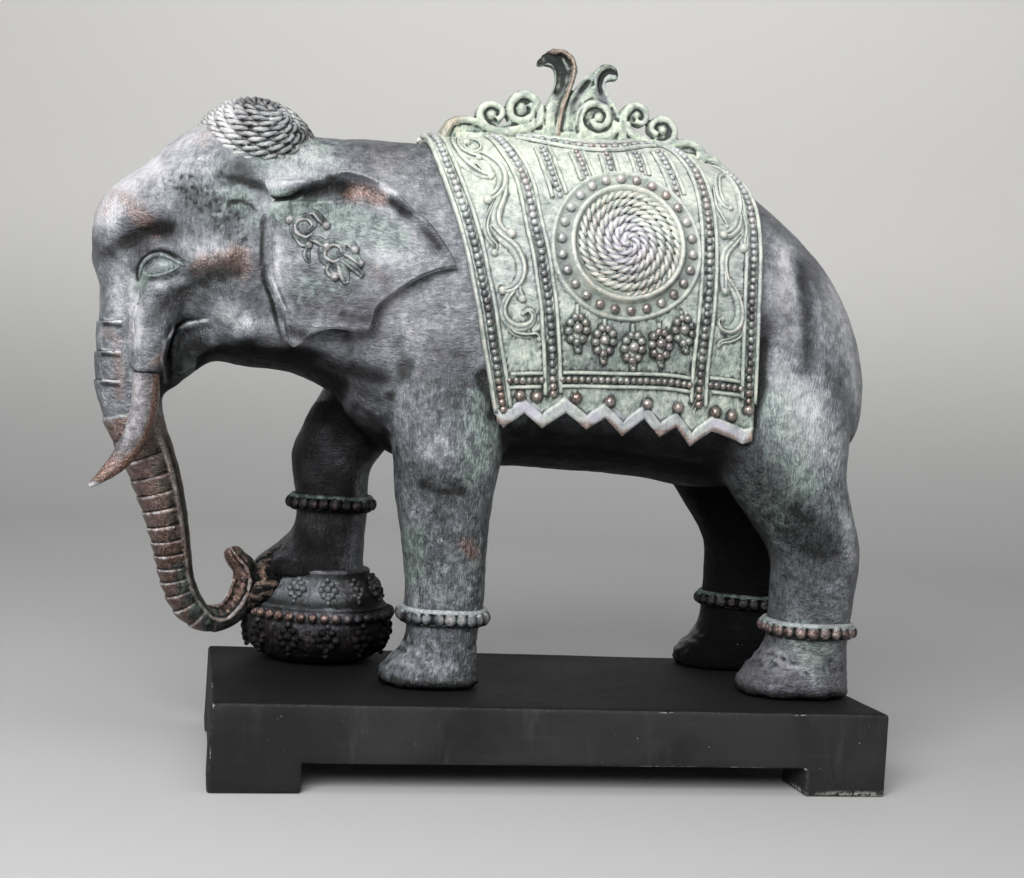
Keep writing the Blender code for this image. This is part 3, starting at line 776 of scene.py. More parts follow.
def flankStrip(bm, side, rows, spacing=1.6, across=7, ridge=0.0):
    path = strip(bm, lambda *spot: onFlank(side, *spot), rows, spacing, across, ridge, 1.2)
    footprints[side] += [tuple(row) for row in path[::2, :3]]


def beside(path, gap):
    # a path moved sideways
    curve = evenPath(path, 6)
    dx, ds = np.gradient(curve[:, 0]), np.gradient(curve[:, 1])
    run = np.hypot(dx, ds)
    return np.stack([curve[:, 0] + ds / run * gap, curve[:, 1] - dx / run * gap], axis=1)


# Beaded bands: a row of beads between two rails

# for each kind of band: its rails' distance from the beads, half width and height, then the beads'
# pitch and radius
bandForm = {
    "wide": (4.9, 1.65, 2.3, 4.8, 2.55), "low": (4.3, 1.6, 2.4, 4.3, 2.45), "stripe": (4.6, 1.6, 2.3, 4.1, 2.0),
    "top": (5.2, 1.8, 2.5, 8.2, 2.7), "stud": 3.7}
bands = [
    [(-91.5, 6), (-88.6, 30), (-86.0, 46), (-79.9, 68.8), (-73.3, 90.2), (-67.2, 112), (-62.8, 131), (-58.2, 149.5),
        (-54.2, 168.9), (-50, 185.4), (-45.2, 207), (-43.6, 214)],
    [(-50, 13), (-45.8, 34), (-38.8, 55.7), (-34.6, 71.8), (-31.4, 92.4), (-28.2, 106.6), (-25.4, 118.4),
        (-22.4, 136), (-19.7, 149.2), (-17.6, 165.2), (-15, 184), (-12.4, 206)],
    [(72, 14), (77.7, 34.1), (82, 49.3), (84.5, 65.2), (85.6, 79.7), (86.1, 95.6), (85.9, 111.1), (85.7, 126.1),
        (84.7, 146.4), (83.6, 166.2), (83.4, 184.5), (84.3, 205)],
    [(107.5, 3), (111, 19), (115, 38), (117.6, 54), (118, 69.8), (117.6, 86), (117, 98), (116.3, 112.8),
        (115.8, 128.3), (115.9, 145.4), (116.6, 165), (117.8, 181.7), (118.4, 189)]]
lowerBands = [[(-40.9, 195.8), (-20.5, 196.8)], [(-7.3, 197), (35, 197.5), (77.3, 194.5)], [(91.1, 190), (112, 184)]]
stripes = [
    [(-21.5, 38), (-19.5, 50), (-17.5, 62), (-13.6, 79)], [(1, 43), (4.2, 60), (6, 66.5)], [(21, 44), (22.4, 62)],
    [(41.5, 40), (43.2, 61)], [(58.5, 34), (61.8, 52), (66, 72)]]
topBand = [(-33, 17), (-16, 27), (1, 33), (12, 34.5), (22, 34), (32, 32), (43, 26.5), (58, 17)]
studs = [
    (-33.8, 205.8), (-22.9, 207.3), (2.9, 209), (24.9, 211.3), (49.8, 211.6), (70.8, 210.7), (96, 205.8),
    (107.7, 203.6), (119.2, 194.5)]


def trimCloth(side):
    rails, beads = bmesh.new(), bmesh.new()
    for kind, paths in (("wide", bands), ("low", lowerBands), ("stripe", stripes), ("top", [topBand])):
        gap, half, height, pitch, radius = bandForm[kind]
        for path in paths:
            for away in (-gap, gap):
                flankStrip(rails, side, [(x, s, half, height) for x, s in beside(path, away)], 2.6, 5)
            if kind != "top":
                flankBeads(beads, side, path, pitch, radius)
    for x, s in evenPath(topBand, pitch):
        flankBead(beads, side, x, s, radius, tall=0.6)
    for x, s in studs:
        flankBead(beads, side, x, s, bandForm["stud"])
    return rails, beads


# Round boss: a spiral of rope inside a rim, ringed by beads, with five hanging clusters

bossForm = {"x": 30.3, "s": 110.2, "rope": 34.4, "pitch": 5.5, "lead": 16, "ring": 43.4, "beads": 26}
pendants = [
    ((-1.2, 150), (-0.3, 165.1), (1.0, 178.5)), ((17.2, 159), (17.6, 172.2), (18.3, 185.9)),
    ((35.8, 161.5), (37, 176), (38.2, 189.8)), ((53.2, 159.4), (55.0, 172.2), (56.5, 186)),
    ((67.3, 149.5), (69.8, 161), (72.2, 174))]


def bossPlace(side, radius, angle, height):
    return onFlank(side, bossForm["x"] + radius * np.cos(angle), bossForm["s"] + radius * np.sin(angle), height)


def dressBoss(side):
    form = bossForm
    disc, rope, beads = bmesh.new(), bmesh.new(), bmesh.new()
    radii = np.array([0.02, 8, 16, 24, 31, 34.0, 34.5, 35.2, 36.3, 37.5, 38.2, 38.8, 40, 44, 47.2, 47.9, 48.8, 49.7,
        50.3, 50.6])
    tall = np.array([1.5, 1.5, 1.5, 1.5, 1.5, 1.4, 3.2, 5.0, 5.6, 5.1, 3.2, 1.3, 1.2, 1.2, 1.3, 2.4, 2.8, 2.0, 0.8,
        -1.0])
    angles = around(96)
    sheet(disc, bossPlace(side, radii[:, None], angles[None, :], tall[:, None]))
    turns = np.arange(0.9, form["rope"] / form["pitch"] * tau, 0.001)
    length = np.cumsum(form["pitch"] / tau * turns * 0.001)
    theta = np.interp(np.arange(0, length[-1], 1.5), length, turns)
    radius = form["pitch"] * theta / tau
    centres = bossPlace(side, radius, theta, 2.2)
    tube(rope, centres, bossPlace(side, radius, theta, 3.2) - centres, 3.1, 15, 0.95, form["lead"])
    for angle in around(form["beads"], False) + 0.05:
        place = bossPlace(side, form["ring"], angle, 2.3)
        bead(beads, place, bossPlace(side, form["ring"], angle, 3.3) - place, 3.3, 0.85, 10, 8)
    for top, middle, low in pendants:
        flankStrip(disc, side, [(*top, 1.5, 1.6), (*middle, 1.2, 1.4)], across=5)
        for angle in around(9, False) + pi / 2:
            reach = 8.4 if sin(angle) > 0.5 else 7.4
            flankBead(beads, side, middle[0] + 5.7 * cos(angle), middle[1] + reach * sin(angle), 2.85, 0.0)
        flankBead(beads, side, *middle, 3.5, -0.2)
        flankStrip(disc, side, [(middle[0], middle[1], 4.5, 1.0), (*low, 2.0, 0.8)], across=5)
        flankBead(beads, side, *low, 2.1, 0.0)
    for angle in around(59):
        footprints[side].append((form["x"] + 50 * cos(angle), form["s"] + 50 * sin(angle), 0.8))
    return disc, rope, beads


# Scrolls in the front and rear panels: x, s, half width, height; the last item is the end knob's radius

scrolls = [
    ([(-79, 20, 1.6, 1.6), (-80.5, 31.7, 2.6, 2.6), (-76.5, 46.5, 3, 3), (-69.5, 56, 2.8, 2.6), (-62, 61.5, 2, 2.2),
        (-57, 62.5, 1.5, 2)], 2),
    ([(-76, 22, 1.2, 2), (-76.6, 36, 2, 2.4), (-71, 43.5, 2.2, 2.2), (-64, 47, 1.6, 2)], 1.8),
    ([(-71, 24, 0.8, 1.6), (-64, 30, 1.6, 2.4), (-62.5, 37, 1.6, 2.4), (-67, 40.5, 1.4, 2), (-71.5, 36, 1.2, 2),
        (-70.6, 30.5, 1.6, 2.4)], 2.6),
    ([(-64, 42, 1, 1.6), (-57, 49, 2.4, 2.8), (-51.2, 58, 3.2, 3.4), (-50, 68, 3.2, 3.4), (-53.6, 75.5, 2.8, 3),
        (-60, 80, 2, 2.6)], 2.8),
    ([(-66.8, 52, 1, 1.4), (-62, 60, 1.8, 2), (-57.6, 63.6, 1.5, 2)], 1.9),
    ([(-47.6, 66, 1.2, 1.6), (-50.4, 78, 2.8, 2.8), (-54.3, 88.3, 3.4, 3), (-54, 96, 2.8, 3),
        (-49.9, 101.6, 2.2, 2.8), (-45, 103.4, 1.6, 2.4)], 2.9),
    ([(-49.8, 70.4, 1, 1.8), (-55.6, 81.7, 1.4, 2.2), (-60, 91.8, 1.6, 2.4), (-61, 99.2, 1.7, 2.6),
        (-58.4, 106, 1.6, 2.4), (-54.6, 110.5, 1.2, 2), (-55.4, 115, 1, 2)], 2.1),
    ([(-58.5, 97, 1.2, 2), (-51.6, 105, 2.4, 3), (-44.2, 111.5, 2.8, 3.4), (-39.4, 119.1, 2.8, 3.4),
        (-37.6, 126.5, 2.8, 3.4), (-39, 133.7, 2.8, 3.4), (-43.6, 138.4, 2.5, 3), (-49.5, 139.2, 2, 2.6)], 2.4),
    ([(-38.4, 128.9, 1.6, 2), (-41.4, 137.2, 2, 2.4), (-46.3, 144, 2, 2.6), (-48.6, 150.3, 2.1, 2.6),
        (-46.6, 156.9, 2.2, 2.8), (-41.4, 161.6, 2.4, 3), (-35, 162.8, 2.4, 3), (-30.2, 160.4, 2, 2.8),
        (-29.2, 155.8, 1.6, 2.6), (-32.4, 152.4, 1.3, 2.2), (-36, 154.2, 1, 2)], 1.4),
    ([(-39.6, 131, 1, 1.8), (-39.4, 139.6, 2, 2.4), (-36.8, 145.2, 1.8, 2.2)], 2.2),
    ([(-46.5, 158.1, 1, 1.6), (-40.8, 165.6, 1.5, 2), (-33.2, 168, 1.6, 2), (-26.8, 168, 1.3, 1.8),
        (-24.6, 171, 1.1, 1.6)], 1.4),
    ([(109.3, 72, 1.4, 2), (111.6, 60, 2, 2.8), (111, 45, 2.2, 2.8), (106, 34, 2, 2.6), (98.6, 42, 1.8, 2.6),
        (95.6, 57, 2, 2.6), (97.4, 66, 1.8, 2.4), (103, 67.5, 1.4, 2)], 1.6),
    ([(91.6, 56, 1, 1.6), (91, 70.5, 1.9, 2.4), (94.6, 78, 1.8, 2.2), (98.8, 83.6, 1.2, 1.8)], 1.4),
    ([(109.4, 69.5, 1.6, 2.2), (106, 80.4, 2.6, 3), (101, 87.6, 2.4, 2.8), (96, 90.8, 1.8, 2.4)], 2.6),
    ([(110.4, 66, 1.4, 2), (111.2, 79, 2.2, 2.8), (109.7, 88.6, 2, 2.6), (109.6, 94, 1.6, 2.4)], 2.9),
    ([(109.6, 83.9, 1.4, 2), (102.6, 94.3, 2, 2.8), (97, 103.2, 2.3, 3), (95.7, 112.7, 2.3, 3), (98.2, 120.4, 2, 2.8),
        (103.6, 124.2, 1.4, 2.2), (109, 122.6, 1, 1.8)], 0),
    ([(95.6, 108, 1.2, 2), (95.8, 120.3, 2.2, 2.6), (96.6, 128.6, 1.7, 2.2)], 2.4),
    ([(99.2, 119, 1.4, 2), (104.7, 127.5, 2.4, 3), (107.4, 135.4, 2.7, 3.2), (106.8, 144, 2.7, 3.2),
        (102.4, 150.4, 2.4, 3), (96.8, 152.2, 2, 2.6), (93.6, 149.4, 1.5, 2.2), (95.6, 146.2, 1.1, 2)], 1.7),
    ([(109.6, 141, 1, 1.6), (108.6, 150.3, 1.5, 2), (102.4, 157, 1.5, 2), (96.4, 160.6, 1.3, 1.8),
        (94.2, 164, 1.1, 1.6)], 1.3)]


def scrollPanels(side):
    bm = bmesh.new()
    for rows, knob in scrolls:
        flankStrip(bm, side, [(x, s, half * 1.32, tall * 1.25) for x, s, half, tall in rows], spacing=1.2, across=9,
            ridge=0.42)
        if knob:
            x, s, _, tall = rows[-1]
            bead(bm, onFlank(side, x, s, knob * 0.4), flankWay(side, x, s), knob * 1.15, 0.9, 10, 8)
    return bm


def dirtOnCloth(mesh):
    # the cloth's own hollows, and dirt along the foot of every ornament
    here = places(mesh)
    x, y, z = here.T
    best = np.full(len(here), 1e3)
    for side in (-1, 1):
        prints = np.array(footprints[side])
        spots = onFlank(side, prints[:, 0], prints[:, 1], 0.0)
        near = KDTree(len(spots))
        for i, spot in enumerate(spots):
            near.insert(spot, i)
        near.balance()
        for i in np.nonzero(y * side > -2)[0]:
            _, which, gap = near.find(here[i])
            best[i] = min(best[i], gap - prints[which, 2])
    paint(mesh, hollow=np.clip(1 - np.abs(best + 0.3) / 1.85, 0, 1) * (0.6 + 0.3 * ease(z, 385, 300))
              + np.clip(hollows(mesh, 4, 0.5), -0.7, 0.6))
    under = ((x > -12) & (x < 80)) * ease(z, 300, 285)
    paint(mesh, dark=0.1 * ease(z, 350, 265) + 0.22 * under * ease(z, 250, 266))
    border, tips = np.full(len(here), 1e3), np.full(len(here), 1e3)
    for side in (-1, 1):
        corners = onFlank(side, *np.array(hemCorners).T, 0.0)
        border = np.minimum(border, toLine(here, corners)[0])
        for corner in corners[1::2]:
            tips = np.minimum(tips, np.linalg.norm(here - corner, axis=1))
    paint(mesh, pale=0.5 * ease(z, 350, 400) + 0.06 * ease(border, 9.5, 7.5),
          mauve=0.7 * ease(border, 9.5, 7.5) * (0.6 + 1.1 * lumps(here, 12, 4)))
    worn = 0.85 * ease(border, 4.6, 2.4) * ease(lumps(here, 14, 7), -0.3, 0.3)
    paint(mesh, warm=np.maximum(worn, 0.75 * ease(tips, 10, 3) * (1 + lumps(here, 20, 6))))


for side, name in bothSides:
    rails, beads = trimCloth(side)
    disc, rope, ringBeads = dressBoss(side)
    panel = scrollPanels(side)
    for bm, part, height, copper in ((rails, "rails", 2.2, 0.2), (beads, "beads", 3.4, 0.22),
            (disc, "boss_disc", 5.0, 0.3), (rope, "boss_rope", 5.4, 0.42), (ringBeads, "boss_beads", 4.6, 0.34),
            (panel, "scrolls", 4.4, 0.36)):
        mesh = weldedMesh(bm)
        knobs = part in ("beads", "boss_beads")
        relief(mesh, clothTree, height, 0.38 if part == "boss_disc" else 0.8 if knobs else 1.0,
            -1.15 if knobs else -0.6)
        here = places(mesh)
        x, y, z = here.T
        low = ease(z, 385, 300)
        if part in ("boss_rope", "scrolls", "boss_disc"):
            most = 0.25 if part == "boss_disc" else 0.7
            paint(mesh, hollow=painted(mesh, "hollow") + np.clip(hollows(mesh, 3, 0.4), -most, most))
        if part == "boss_rope":
            paint(mesh, dark=0.12 * low - 0.35 * lumps(here, 12, 8))
        if knobs:
            paint(mesh, dark=0.36 * low - 0.5 * lumps(here, 12, 8) - 0.05, green=0.45 - 0.4 * lumps(here, 16, 5))
        if knobs:
            copper = (copper * (1 - 0.5 * ease(x, 20, -10)) + 0.5 * ease(z, 340, 395) + 0.35 * ease(z, 262, 245))
        if part == "boss_rope":
            middle = onFlank(side, bossForm["x"], bossForm["s"], 3.0)
            reach = np.linalg.norm(here - middle, axis=1)
            paint(mesh, mauve=0.75 * ease(reach, 30, 6))
            roughen(mesh, (3.0, 4, 0.35))
        paint(mesh, warm=copper * (0.55 + 0.5 * ease(z, 360, 270) + (0.9 if knobs else 0.5) * lumps(here, 30, 3)),
              pale=(0.7 if knobs else 0.35) * ease(z, 320, 400))
        finish, slot = (glossy, "patinated_resin") if knobs else (verdigris, "verdigris_resin")
        addPiece(mesh, f"cloth_{part}_{name}", finish)
cloth = shapedBy(cloth, (("SOLIDIFY", {"thickness": flankForm["thickness"], "offset": -1.0}),))
dirtOnCloth(cloth)
addPiece(cloth, "saddle_cloth", verdigris)
print("cloth dressed")


# Ears: a shaped front face on a solid flap that is sunk in the neck

earForm = {"rootY": 49, "tipY": 74, "frontX": -203, "rearX": -78, "clear": 2.8, "backY": 42, "across": 150, "up": 112}
earFront = [
    (-178, 266), (-180.5, 270), (-182.1, 275.5), (-184.5, 286), (-188.9, 296), (-193.5, 306), (-196, 318),
    (-196, 329), (-196.4, 341), (-198.6, 350), (-203, 357)]
earLow = [
    (-178, 266), (-175, 265.4), (-168.8, 270), (-161.6, 275.8), (-152, 278), (-140.7, 277.4), (-131, 278.5),
    (-128.2, 285), (-127, 292), (-120.2, 299), (-108.7, 308.6), (-98.6, 315), (-89.3, 319), (-80, 321.6)]
earRear = [(-80, 321.6), (-78, 322.4), (-79.6, 324.6)]
earTop = [
    (-203, 357), (-203.4, 363), (-200, 367.5), (-194, 368.8), (-186.8, 368.8), (-174.4, 369.7), (-165.8, 372),
    (-158.2, 375.2), (-151.9, 377), (-142.7, 375.6), (-133.9, 373), (-126.1, 370.4), (-118.3, 365.2), (-111.4, 359),
    (-106.6, 354.4), (-99.9, 350), (-93, 343), (-86, 334), (-79.6, 324.6)]
# (x, z) line, half width, height above the flap
earMarks = [
    ([(-204, 362), (-196, 363.6), (-187, 364.4), (-178, 366), (-166, 371)], 6, 5.4),
    ([(-206, 355.6), (-198, 356), (-189, 356.4), (-182, 358.4), (-175, 363)], 1.7, -3.4),
    ([(-186, 358), (-168, 363), (-158, 365), (-148, 366), (-138, 364), (-118, 356)], 7, -4.6),
    ([(-172, 370.8), (-160, 374.2), (-151.5, 376.4), (-140, 374.4), (-128, 370.2)], 1.5, 1.8),
    ([(-190, 355), (-176.6, 354.6), (-161.3, 356), (-148, 357.8), (-138.3, 356.7), (-130.5, 354.9), (-122.7, 353.4)],
        0.8, 1.1),
    ([(-142.5, 344.6), (-132.8, 343.5), (-118.4, 336), (-108.8, 330.3), (-96.1, 323.4)], 0.8, 0.9),
    ([(-144, 347.6), (-130, 346), (-117, 339), (-104, 331)], 2.6, -1),
    ([(-128, 362), (-118, 356), (-108, 347), (-96, 336), (-86, 326)], 4.2, -2.2),
    ([(-184, 278), (-176, 271.6), (-168, 275)], 4.6, -1), ([(-168, 327), (-150, 312), (-138, 298)], 17, -2.6),
    (earFront, 1, 1), ([(x + 3.4, z + 1) for x, z in earFront[1:]], 1.6, -0.8),
    ([(-130, 282), (-124, 298), (-110, 310), (-92, 320)], 3.5, 1.2)]
# the same kind of lines for what is painted on the ears: line, half width, amount
earPaint = {
    # the first pale stroke is a painted highlight on the front lobe
    "pale": [([(-200, 365), (-190, 365.5), (-177, 368)], 3.5, 0.55), ([(-128, 368), (-121, 364)], 3.5, 0.9),
        ([(-189, 325), (-189, 305), (-182, 290)], 4, 0.6), ([(-125, 325), (-110, 325)], 9, 0.5),
        ([(-122, 352), (-104, 337)], 7, 0.4)],
    # the first two dark strokes are painted shade under the front lobe and under the top rim
    "dark": [([(-205, 356.5), (-192, 356.5), (-181, 358), (-174, 361)], 2.2, 1),
        ([(-180, 360), (-166, 364), (-158, 366), (-152, 366)], 6, 0.85), ([(-122, 359), (-112, 352)], 4, 0.9),
        ([(-101, 343), (-91, 333)], 3.4, 0.7), ([(-148, 287), (-130, 284)], 6, 0.7),
        ([(-179, 275), (-170, 273)], 5, 0.6), ([(-182, 294), (-160, 296), (-138, 292)], 13, 0.5),
        ([(-170, 312), (-160, 306)], 8, 0.45), ([(-150, 312), (-142, 302)], 8, 0.45),
        ([(-186, 345), (-176, 352), (-150, 350)], 6, 0.3), ([(-140, 322), (-126, 312)], 8, 0.3)],
    "warm": [([(-147, 363), (-140, 365), (-130, 361)], 6, 0.95), ([(-132, 318), (-122, 308)], 7, 0.35)],
    "green": [([(-196, 352), (-150, 346), (-120, 338)], 9, 0.8), ([(-172, 300), (-150, 304)], 9, 0.35)]}


def smoothLine(rows, count):
    curve = evenPath(rows, 0.5)
    return np.stack([np.interp(np.linspace(0, 1, count), np.linspace(0, 1, len(curve)), column) for column
        in curve.T], axis=1)


def pressed(points, marks):
    # sum of grooves and ridges at each (x, z): rounded bands that fade at their ends
    total = np.zeros(len(points))
    for line, width, height in marks:
        gap, share = toLine(points, evenPath(line, 2.0) if len(line) > 2 else line)
        fade = ease(share, -0.03, 0.25) * ease(share, 1.03, 0.75) if len(line) > 2 else 1
        total += height * np.exp(-(gap / width) ** 2) * fade
    return total


def formEar(side):
    form = earForm
    low, top = smoothLine(earLow, form["across"]), smoothLine(earTop, form["across"])
    front, rear = smoothLine(earFront, form["up"]), smoothLine(earRear, form["up"])
    u, v = np.linspace(0, 1, form["across"])[None, :, None], np.linspace(0, 1, form["up"])[:, None, None]
    plan = (
        (1 - v) * low[None] + v * top[None] + (1 - u) * front[:, None] + u * rear[:, None]
        - (1 - u) * (1 - v) * low[0] - u * (1 - v) * low[-1] - (1 - u) * v * top[0] - u * v * top[-1])
    flat = plan.reshape(-1, 2)
    share = np.clip((flat[:, 0] - form["frontX"]) / (form["rearX"] - form["frontX"]), 0, 1)
    flare = form["rootY"] + (form["tipY"] - form["rootY"]) * np.sin(share * pi / 2)
    skin = []
    for x, z in flat:
        hit = bareHide.ray_cast(Vector((x, side * 200, z)), Vector((0, -side, 0)))[0]
        skin.append(abs(hit.y) if hit is not None else 0)
    away = toLine(flat, smoothLine(earFront, 40))[0]
    out = np.maximum(flare, np.array(skin) + 0.5 + form["clear"] * ease(away, 0, 14))
    out -= 6 * np.exp(-(np.hypot(flat[:, 0] + 206, flat[:, 1] - 363) / 10) ** 2)
    table = np.stack([flat[:, 0], side * out, flat[:, 1]], axis=1).reshape(*plan.shape[:2], 3)
    for _ in range(6):
        table[1:-1, 1:-1, 1] = (table[1:-1, 1:-1, 1] + table[:-2, 1:-1, 1] + table[2:, 1:-1, 1] + table[1:-1, :-2, 1]
            + table[1:-1, 2:, 1]) / 5
    here = table.reshape(-1, 3)
    edge = np.minimum(toLine(flat, smoothLine(earLow, 60))[0], toLine(flat, smoothLine(earTop, 60))[0])
    edge = np.minimum(edge, toLine(flat, smoothLine(earFront, 40))[0])
    swell = pressed(flat, earMarks) - 1.8 * ease(edge, 1.8, 0)
    swell *= 0.12 + 0.88 * ease(np.hypot(flat[:, 0] + 204, flat[:, 1] - 363), 3, 24)
    swell += lumps(here, 14, 3) * 0.9 + lumps(here, 5, 8) * 0.4
    here[:, 1] += side * swell
    bm = bmesh.new()
    sheet(bm, here.reshape(table.shape))
    bmesh.ops.remove_doubles(bm, verts=bm.verts, dist=0.02)
    middle = Vector((-145, 0, 325))
    for inset, depth in ((0.0, 1.6), (0.018, 3.0), (0.03, 7.0), (0.03, 100)):
        rim = bmesh.ops.extrude_edge_only(bm, edges=openEdges(bm))["geom"]
        for vert in [item for item in rim if isinstance(item, bmesh.types.BMVert)]:
            vert.co.x += (middle.x - vert.co.x) * inset
            vert.co.z += (middle.z - vert.co.z) * inset
            vert.co.y = side * max(abs(vert.co.y) - depth, form["backY"])
    bmesh.ops.contextual_create(bm, geom=openEdges(bm))
    facingOut(bm)
    return meshFrom(bm)


def ontoTree(tree, side):
    # the place over a surface seen from the side, at x and z, raised by height
    def place(x, z, height):
        x, z, height = alike(x, z, height)
        made = np.zeros(x.shape + (3,))
        for index in np.ndindex(x.shape):
            hit, way, _, _ = tree.ray_cast(Vector((x[index], side * 200, z[index])), Vector((0, -side, 0)))
            if hit is None:
                hit, way, _, _ = tree.find_nearest(Vector((x[index], side * 60, z[index])))
            if way.y * side < 0:
                way = -way
            made[index] = hit + way * float(height[index])
        return made
    return place


# Curled leaves on each ear: x, z, half width, height, then the end knob's radius
earCurls = [
    ([(-168.4, 335.2, 1.3, 2), (-172.6, 332.6, 2, 2.6), (-178.6, 334.6, 2.2, 2.8), (-180.6, 340, 2.1, 2.8),
        (-177.4, 344.6, 2, 2.8), (-171.6, 345, 1.8, 2.6), (-168.6, 341.4, 1.5, 2.4), (-171, 338, 1.1, 2)], 0),
    ([(-180, 345, 1.4, 2), (-183.4, 343.8, 1.9, 2)], 2.6),
    ([(-176, 346.4, 1, 1.6), (-169.5, 349, 1.7, 2.2), (-165, 345.4, 1.9, 2.4), (-161, 341.6, 1.6, 2.2)], 2.4),
    ([(-179.6, 335, 1.2, 1.8), (-175.4, 329.8, 1.8, 2.4), (-170.4, 329, 1.7, 2.2)], 2.2),
    ([(-170, 333, 1.5, 2.2), (-165, 331.6, 2.2, 2.6), (-160, 329, 1.8, 2.4)], 2.8),
    ([(-170.8, 328.6, 1.2, 1.8), (-172, 322.6, 1.9, 2.2), (-170, 318, 0.9, 1.4)], 0),
    ([(-150.5, 321, 1.4, 2.4), (-155, 318.6, 2.2, 3), (-160.8, 321.2, 2.4, 3.2), (-161.6, 327, 2.3, 3.2),
        (-157.4, 331, 2.2, 3), (-151.4, 330, 2, 2.8), (-149.4, 325.8, 1.5, 2.6), (-153, 323.6, 1.1, 2)], 0),
    ([(-152, 331.4, 1.2, 1.8), (-146, 331.4, 2, 2.6), (-142.6, 327.6, 1.8, 2.4)], 2.6),
    ([(-149, 325, 1.2, 2), (-143.4, 323.4, 2.2, 2.8), (-138.6, 319.6, 1.6, 2.2)], 2),
    ([(-150, 321.5, 1.2, 2), (-143.4, 317.6, 2.3, 2.8), (-136.4, 311.6, 1.3, 2)], 0),
    ([(-152, 319.8, 1.4, 2), (-149, 313, 2.9, 2.8), (-146.4, 306.2, 1.5, 1.8)], 0),
    ([(-157, 318.4, 1.4, 2), (-157.4, 313.4, 2.2, 2.6), (-154, 310.4, 1.7, 2.4)], 2.6)]


def paintLines(mesh, lines):
    # (x, z) strokes of the named attributes, laid over those that are there
    flat = places(mesh)[:, [0, 2]]
    for name, strokes in lines.items():
        total = painted(mesh, name)
        for line, width, amount in strokes:
            gap = toLine(flat, line)[0]
            total = np.maximum(total, amount * np.exp(-(gap / width) ** 2))
        paint(mesh, **{name: total})


def curlsOnEar(side, tree):
    onto = ontoTree(tree, side)
    bm = bmesh.new()
    for rows, knob in earCurls:
        strip(bm, onto, [(x, z, half * 1.5, tall * 1.35) for x, z, half, tall in rows])
        if knob:
            x, z, _, _ = rows[-1]
            foot = onto(x, z, 0.0)
            bead(bm, onto(x, z, knob * 0.45), onto(x, z, 1.0) - foot, knob * 1.15, 0.95, 10, 8)
    for x, z in ((-174.5, 338.6), (-155.4, 325.2)):
        bead(bm, onto(x, z, -0.6), onto(x, z, 1.0) - onto(x, z, 0.0), 5.4, 0.5, 16, 10)
    return weldedMesh(bm)


# Hide: carved marks, then finer faces on the head and coarser ones under the cloth

# (x, z) line, half width, height; cut into both sides of the head
headMarks = [
    ([(-270, 306.5), (-260, 309.5), (-249, 312.5)], 6.4, -3),
    ([(-275.5, 307), (-272.5, 314.7), (-266.2, 320), (-258.5, 321.4), (-250, 318.6)], 1.5, 1.2),
    ([(-289, 316), (-282, 324), (-273, 330.5), (-262, 334), (-252, 334)], 7.5, -4.6),
    ([(-246, 311.4), (-235, 313.4), (-222, 318), (-211, 317)], 8, 3.2),
    ([(-262, 300), (-268, 292), (-270, 280), (-270, 264)], 6, 2),
    ([(-262, 272), (-254, 287), (-242, 296), (-229, 304), (-217, 306), (-208, 300)], 9.5, -3.6),
    ([(-212, 282), (-205, 277)], 11, 5.5),
    ([(-249.5, 232), (-251.8, 247), (-252.6, 262), (-250.6, 272), (-244.2, 277.2), (-236, 278.8), (-229, 282)], 1.5,
        -1.6),
    ([(-247.6, 240), (-249, 254), (-248.4, 266), (-243, 273.6), (-235, 275.6)], 1.2, 1.2),
    ([(-236, 370), (-224, 369), (-212, 367), (-198, 364)], 5.5, -2.2),
    ([(-232, 362), (-220, 358), (-210, 359)], 4, 1.6),
    ([(-205.5, 352), (-201.5, 343), (-200, 330), (-199.6, 317), (-196.6, 304), (-190, 292), (-187, 280), (-184, 268)],
        1, -0.9),
    ([(-211, 346), (-207, 334), (-206, 318), (-204, 306)], 3.2, 1),
    ([(-224, 352), (-214, 352.5), (-207, 351), (-203, 345)], 1, -1),
    ([(-279.6, 285), (-280, 270), (-279, 252), (-276, 236), (-271, 224)], 2.2, -1.5),
    ([(-185, 262), (-165, 258), (-140, 254)], 8, -2),
    ([(-262, 246), (-266, 244.5), (-272, 246), (-275, 249)], 1.4, 1.2)]
# (x, z) line of the crumbled patch on each temple
crumble = [(-252, 362), (-238, 356), (-226, 350), (-214, 338)]
# x, y, z line, half width, height; shoulder, hip, knees, feet and belly
bodyMarks = [
    ([(-118, -60, 304), (-112, -62, 270), (-108, -66, 240), (-106, -62, 215)], 9, -2),
    ([(-60, -70, 262), (-50, -70, 240), (-44, -64, 222)], 6, -3),
    ([(-100, -70, 292), (-88, -74, 262), (-80, -76, 232)], 11, 2.4),
    ([(126, -72, 300), (127, -74, 265), (122, -74, 232), (118, -70, 214)], 7, -3.2),
    ([(136, -68, 352), (134, -74, 322), (137, -78, 290)], 6, 1.8),
    ([(146, -72, 345), (146, -78, 310), (149, -80, 275)], 7, -2.4),
    ([(170, -70, 330), (172, -80, 290), (168, -82, 250), (166, -80, 215)], 16, 3),
    ([(205, -60, 262), (208, -64, 225), (205, -66, 190)], 9, -2.2),
    ([(-98, -62, 188), (-90, -70, 182), (-74, -72, 180), (-58, -70, 184)], 4, -1.5),
    ([(-96, -62, 160), (-80, -70, 154), (-62, -70, 156)], 5, 1.6),
    ([(-84, -70, 140), (-66, -71, 136), (-50, -66, 140)], 2.5, -1),
    ([(158, -72, 158), (176, -80, 152), (196, -76, 156)], 5, -0.8),
    ([(150, -70, 186), (160, -80, 176), (172, -82, 172)], 4, -1.6),
    ([(158, -76, 128), (180, -80, 122), (200, -76, 126)], 3, -1)]
feet = [(-76, -43, 33.5, 28.5), (173, -52, 38, 28), (163, 50, 38, 28)]
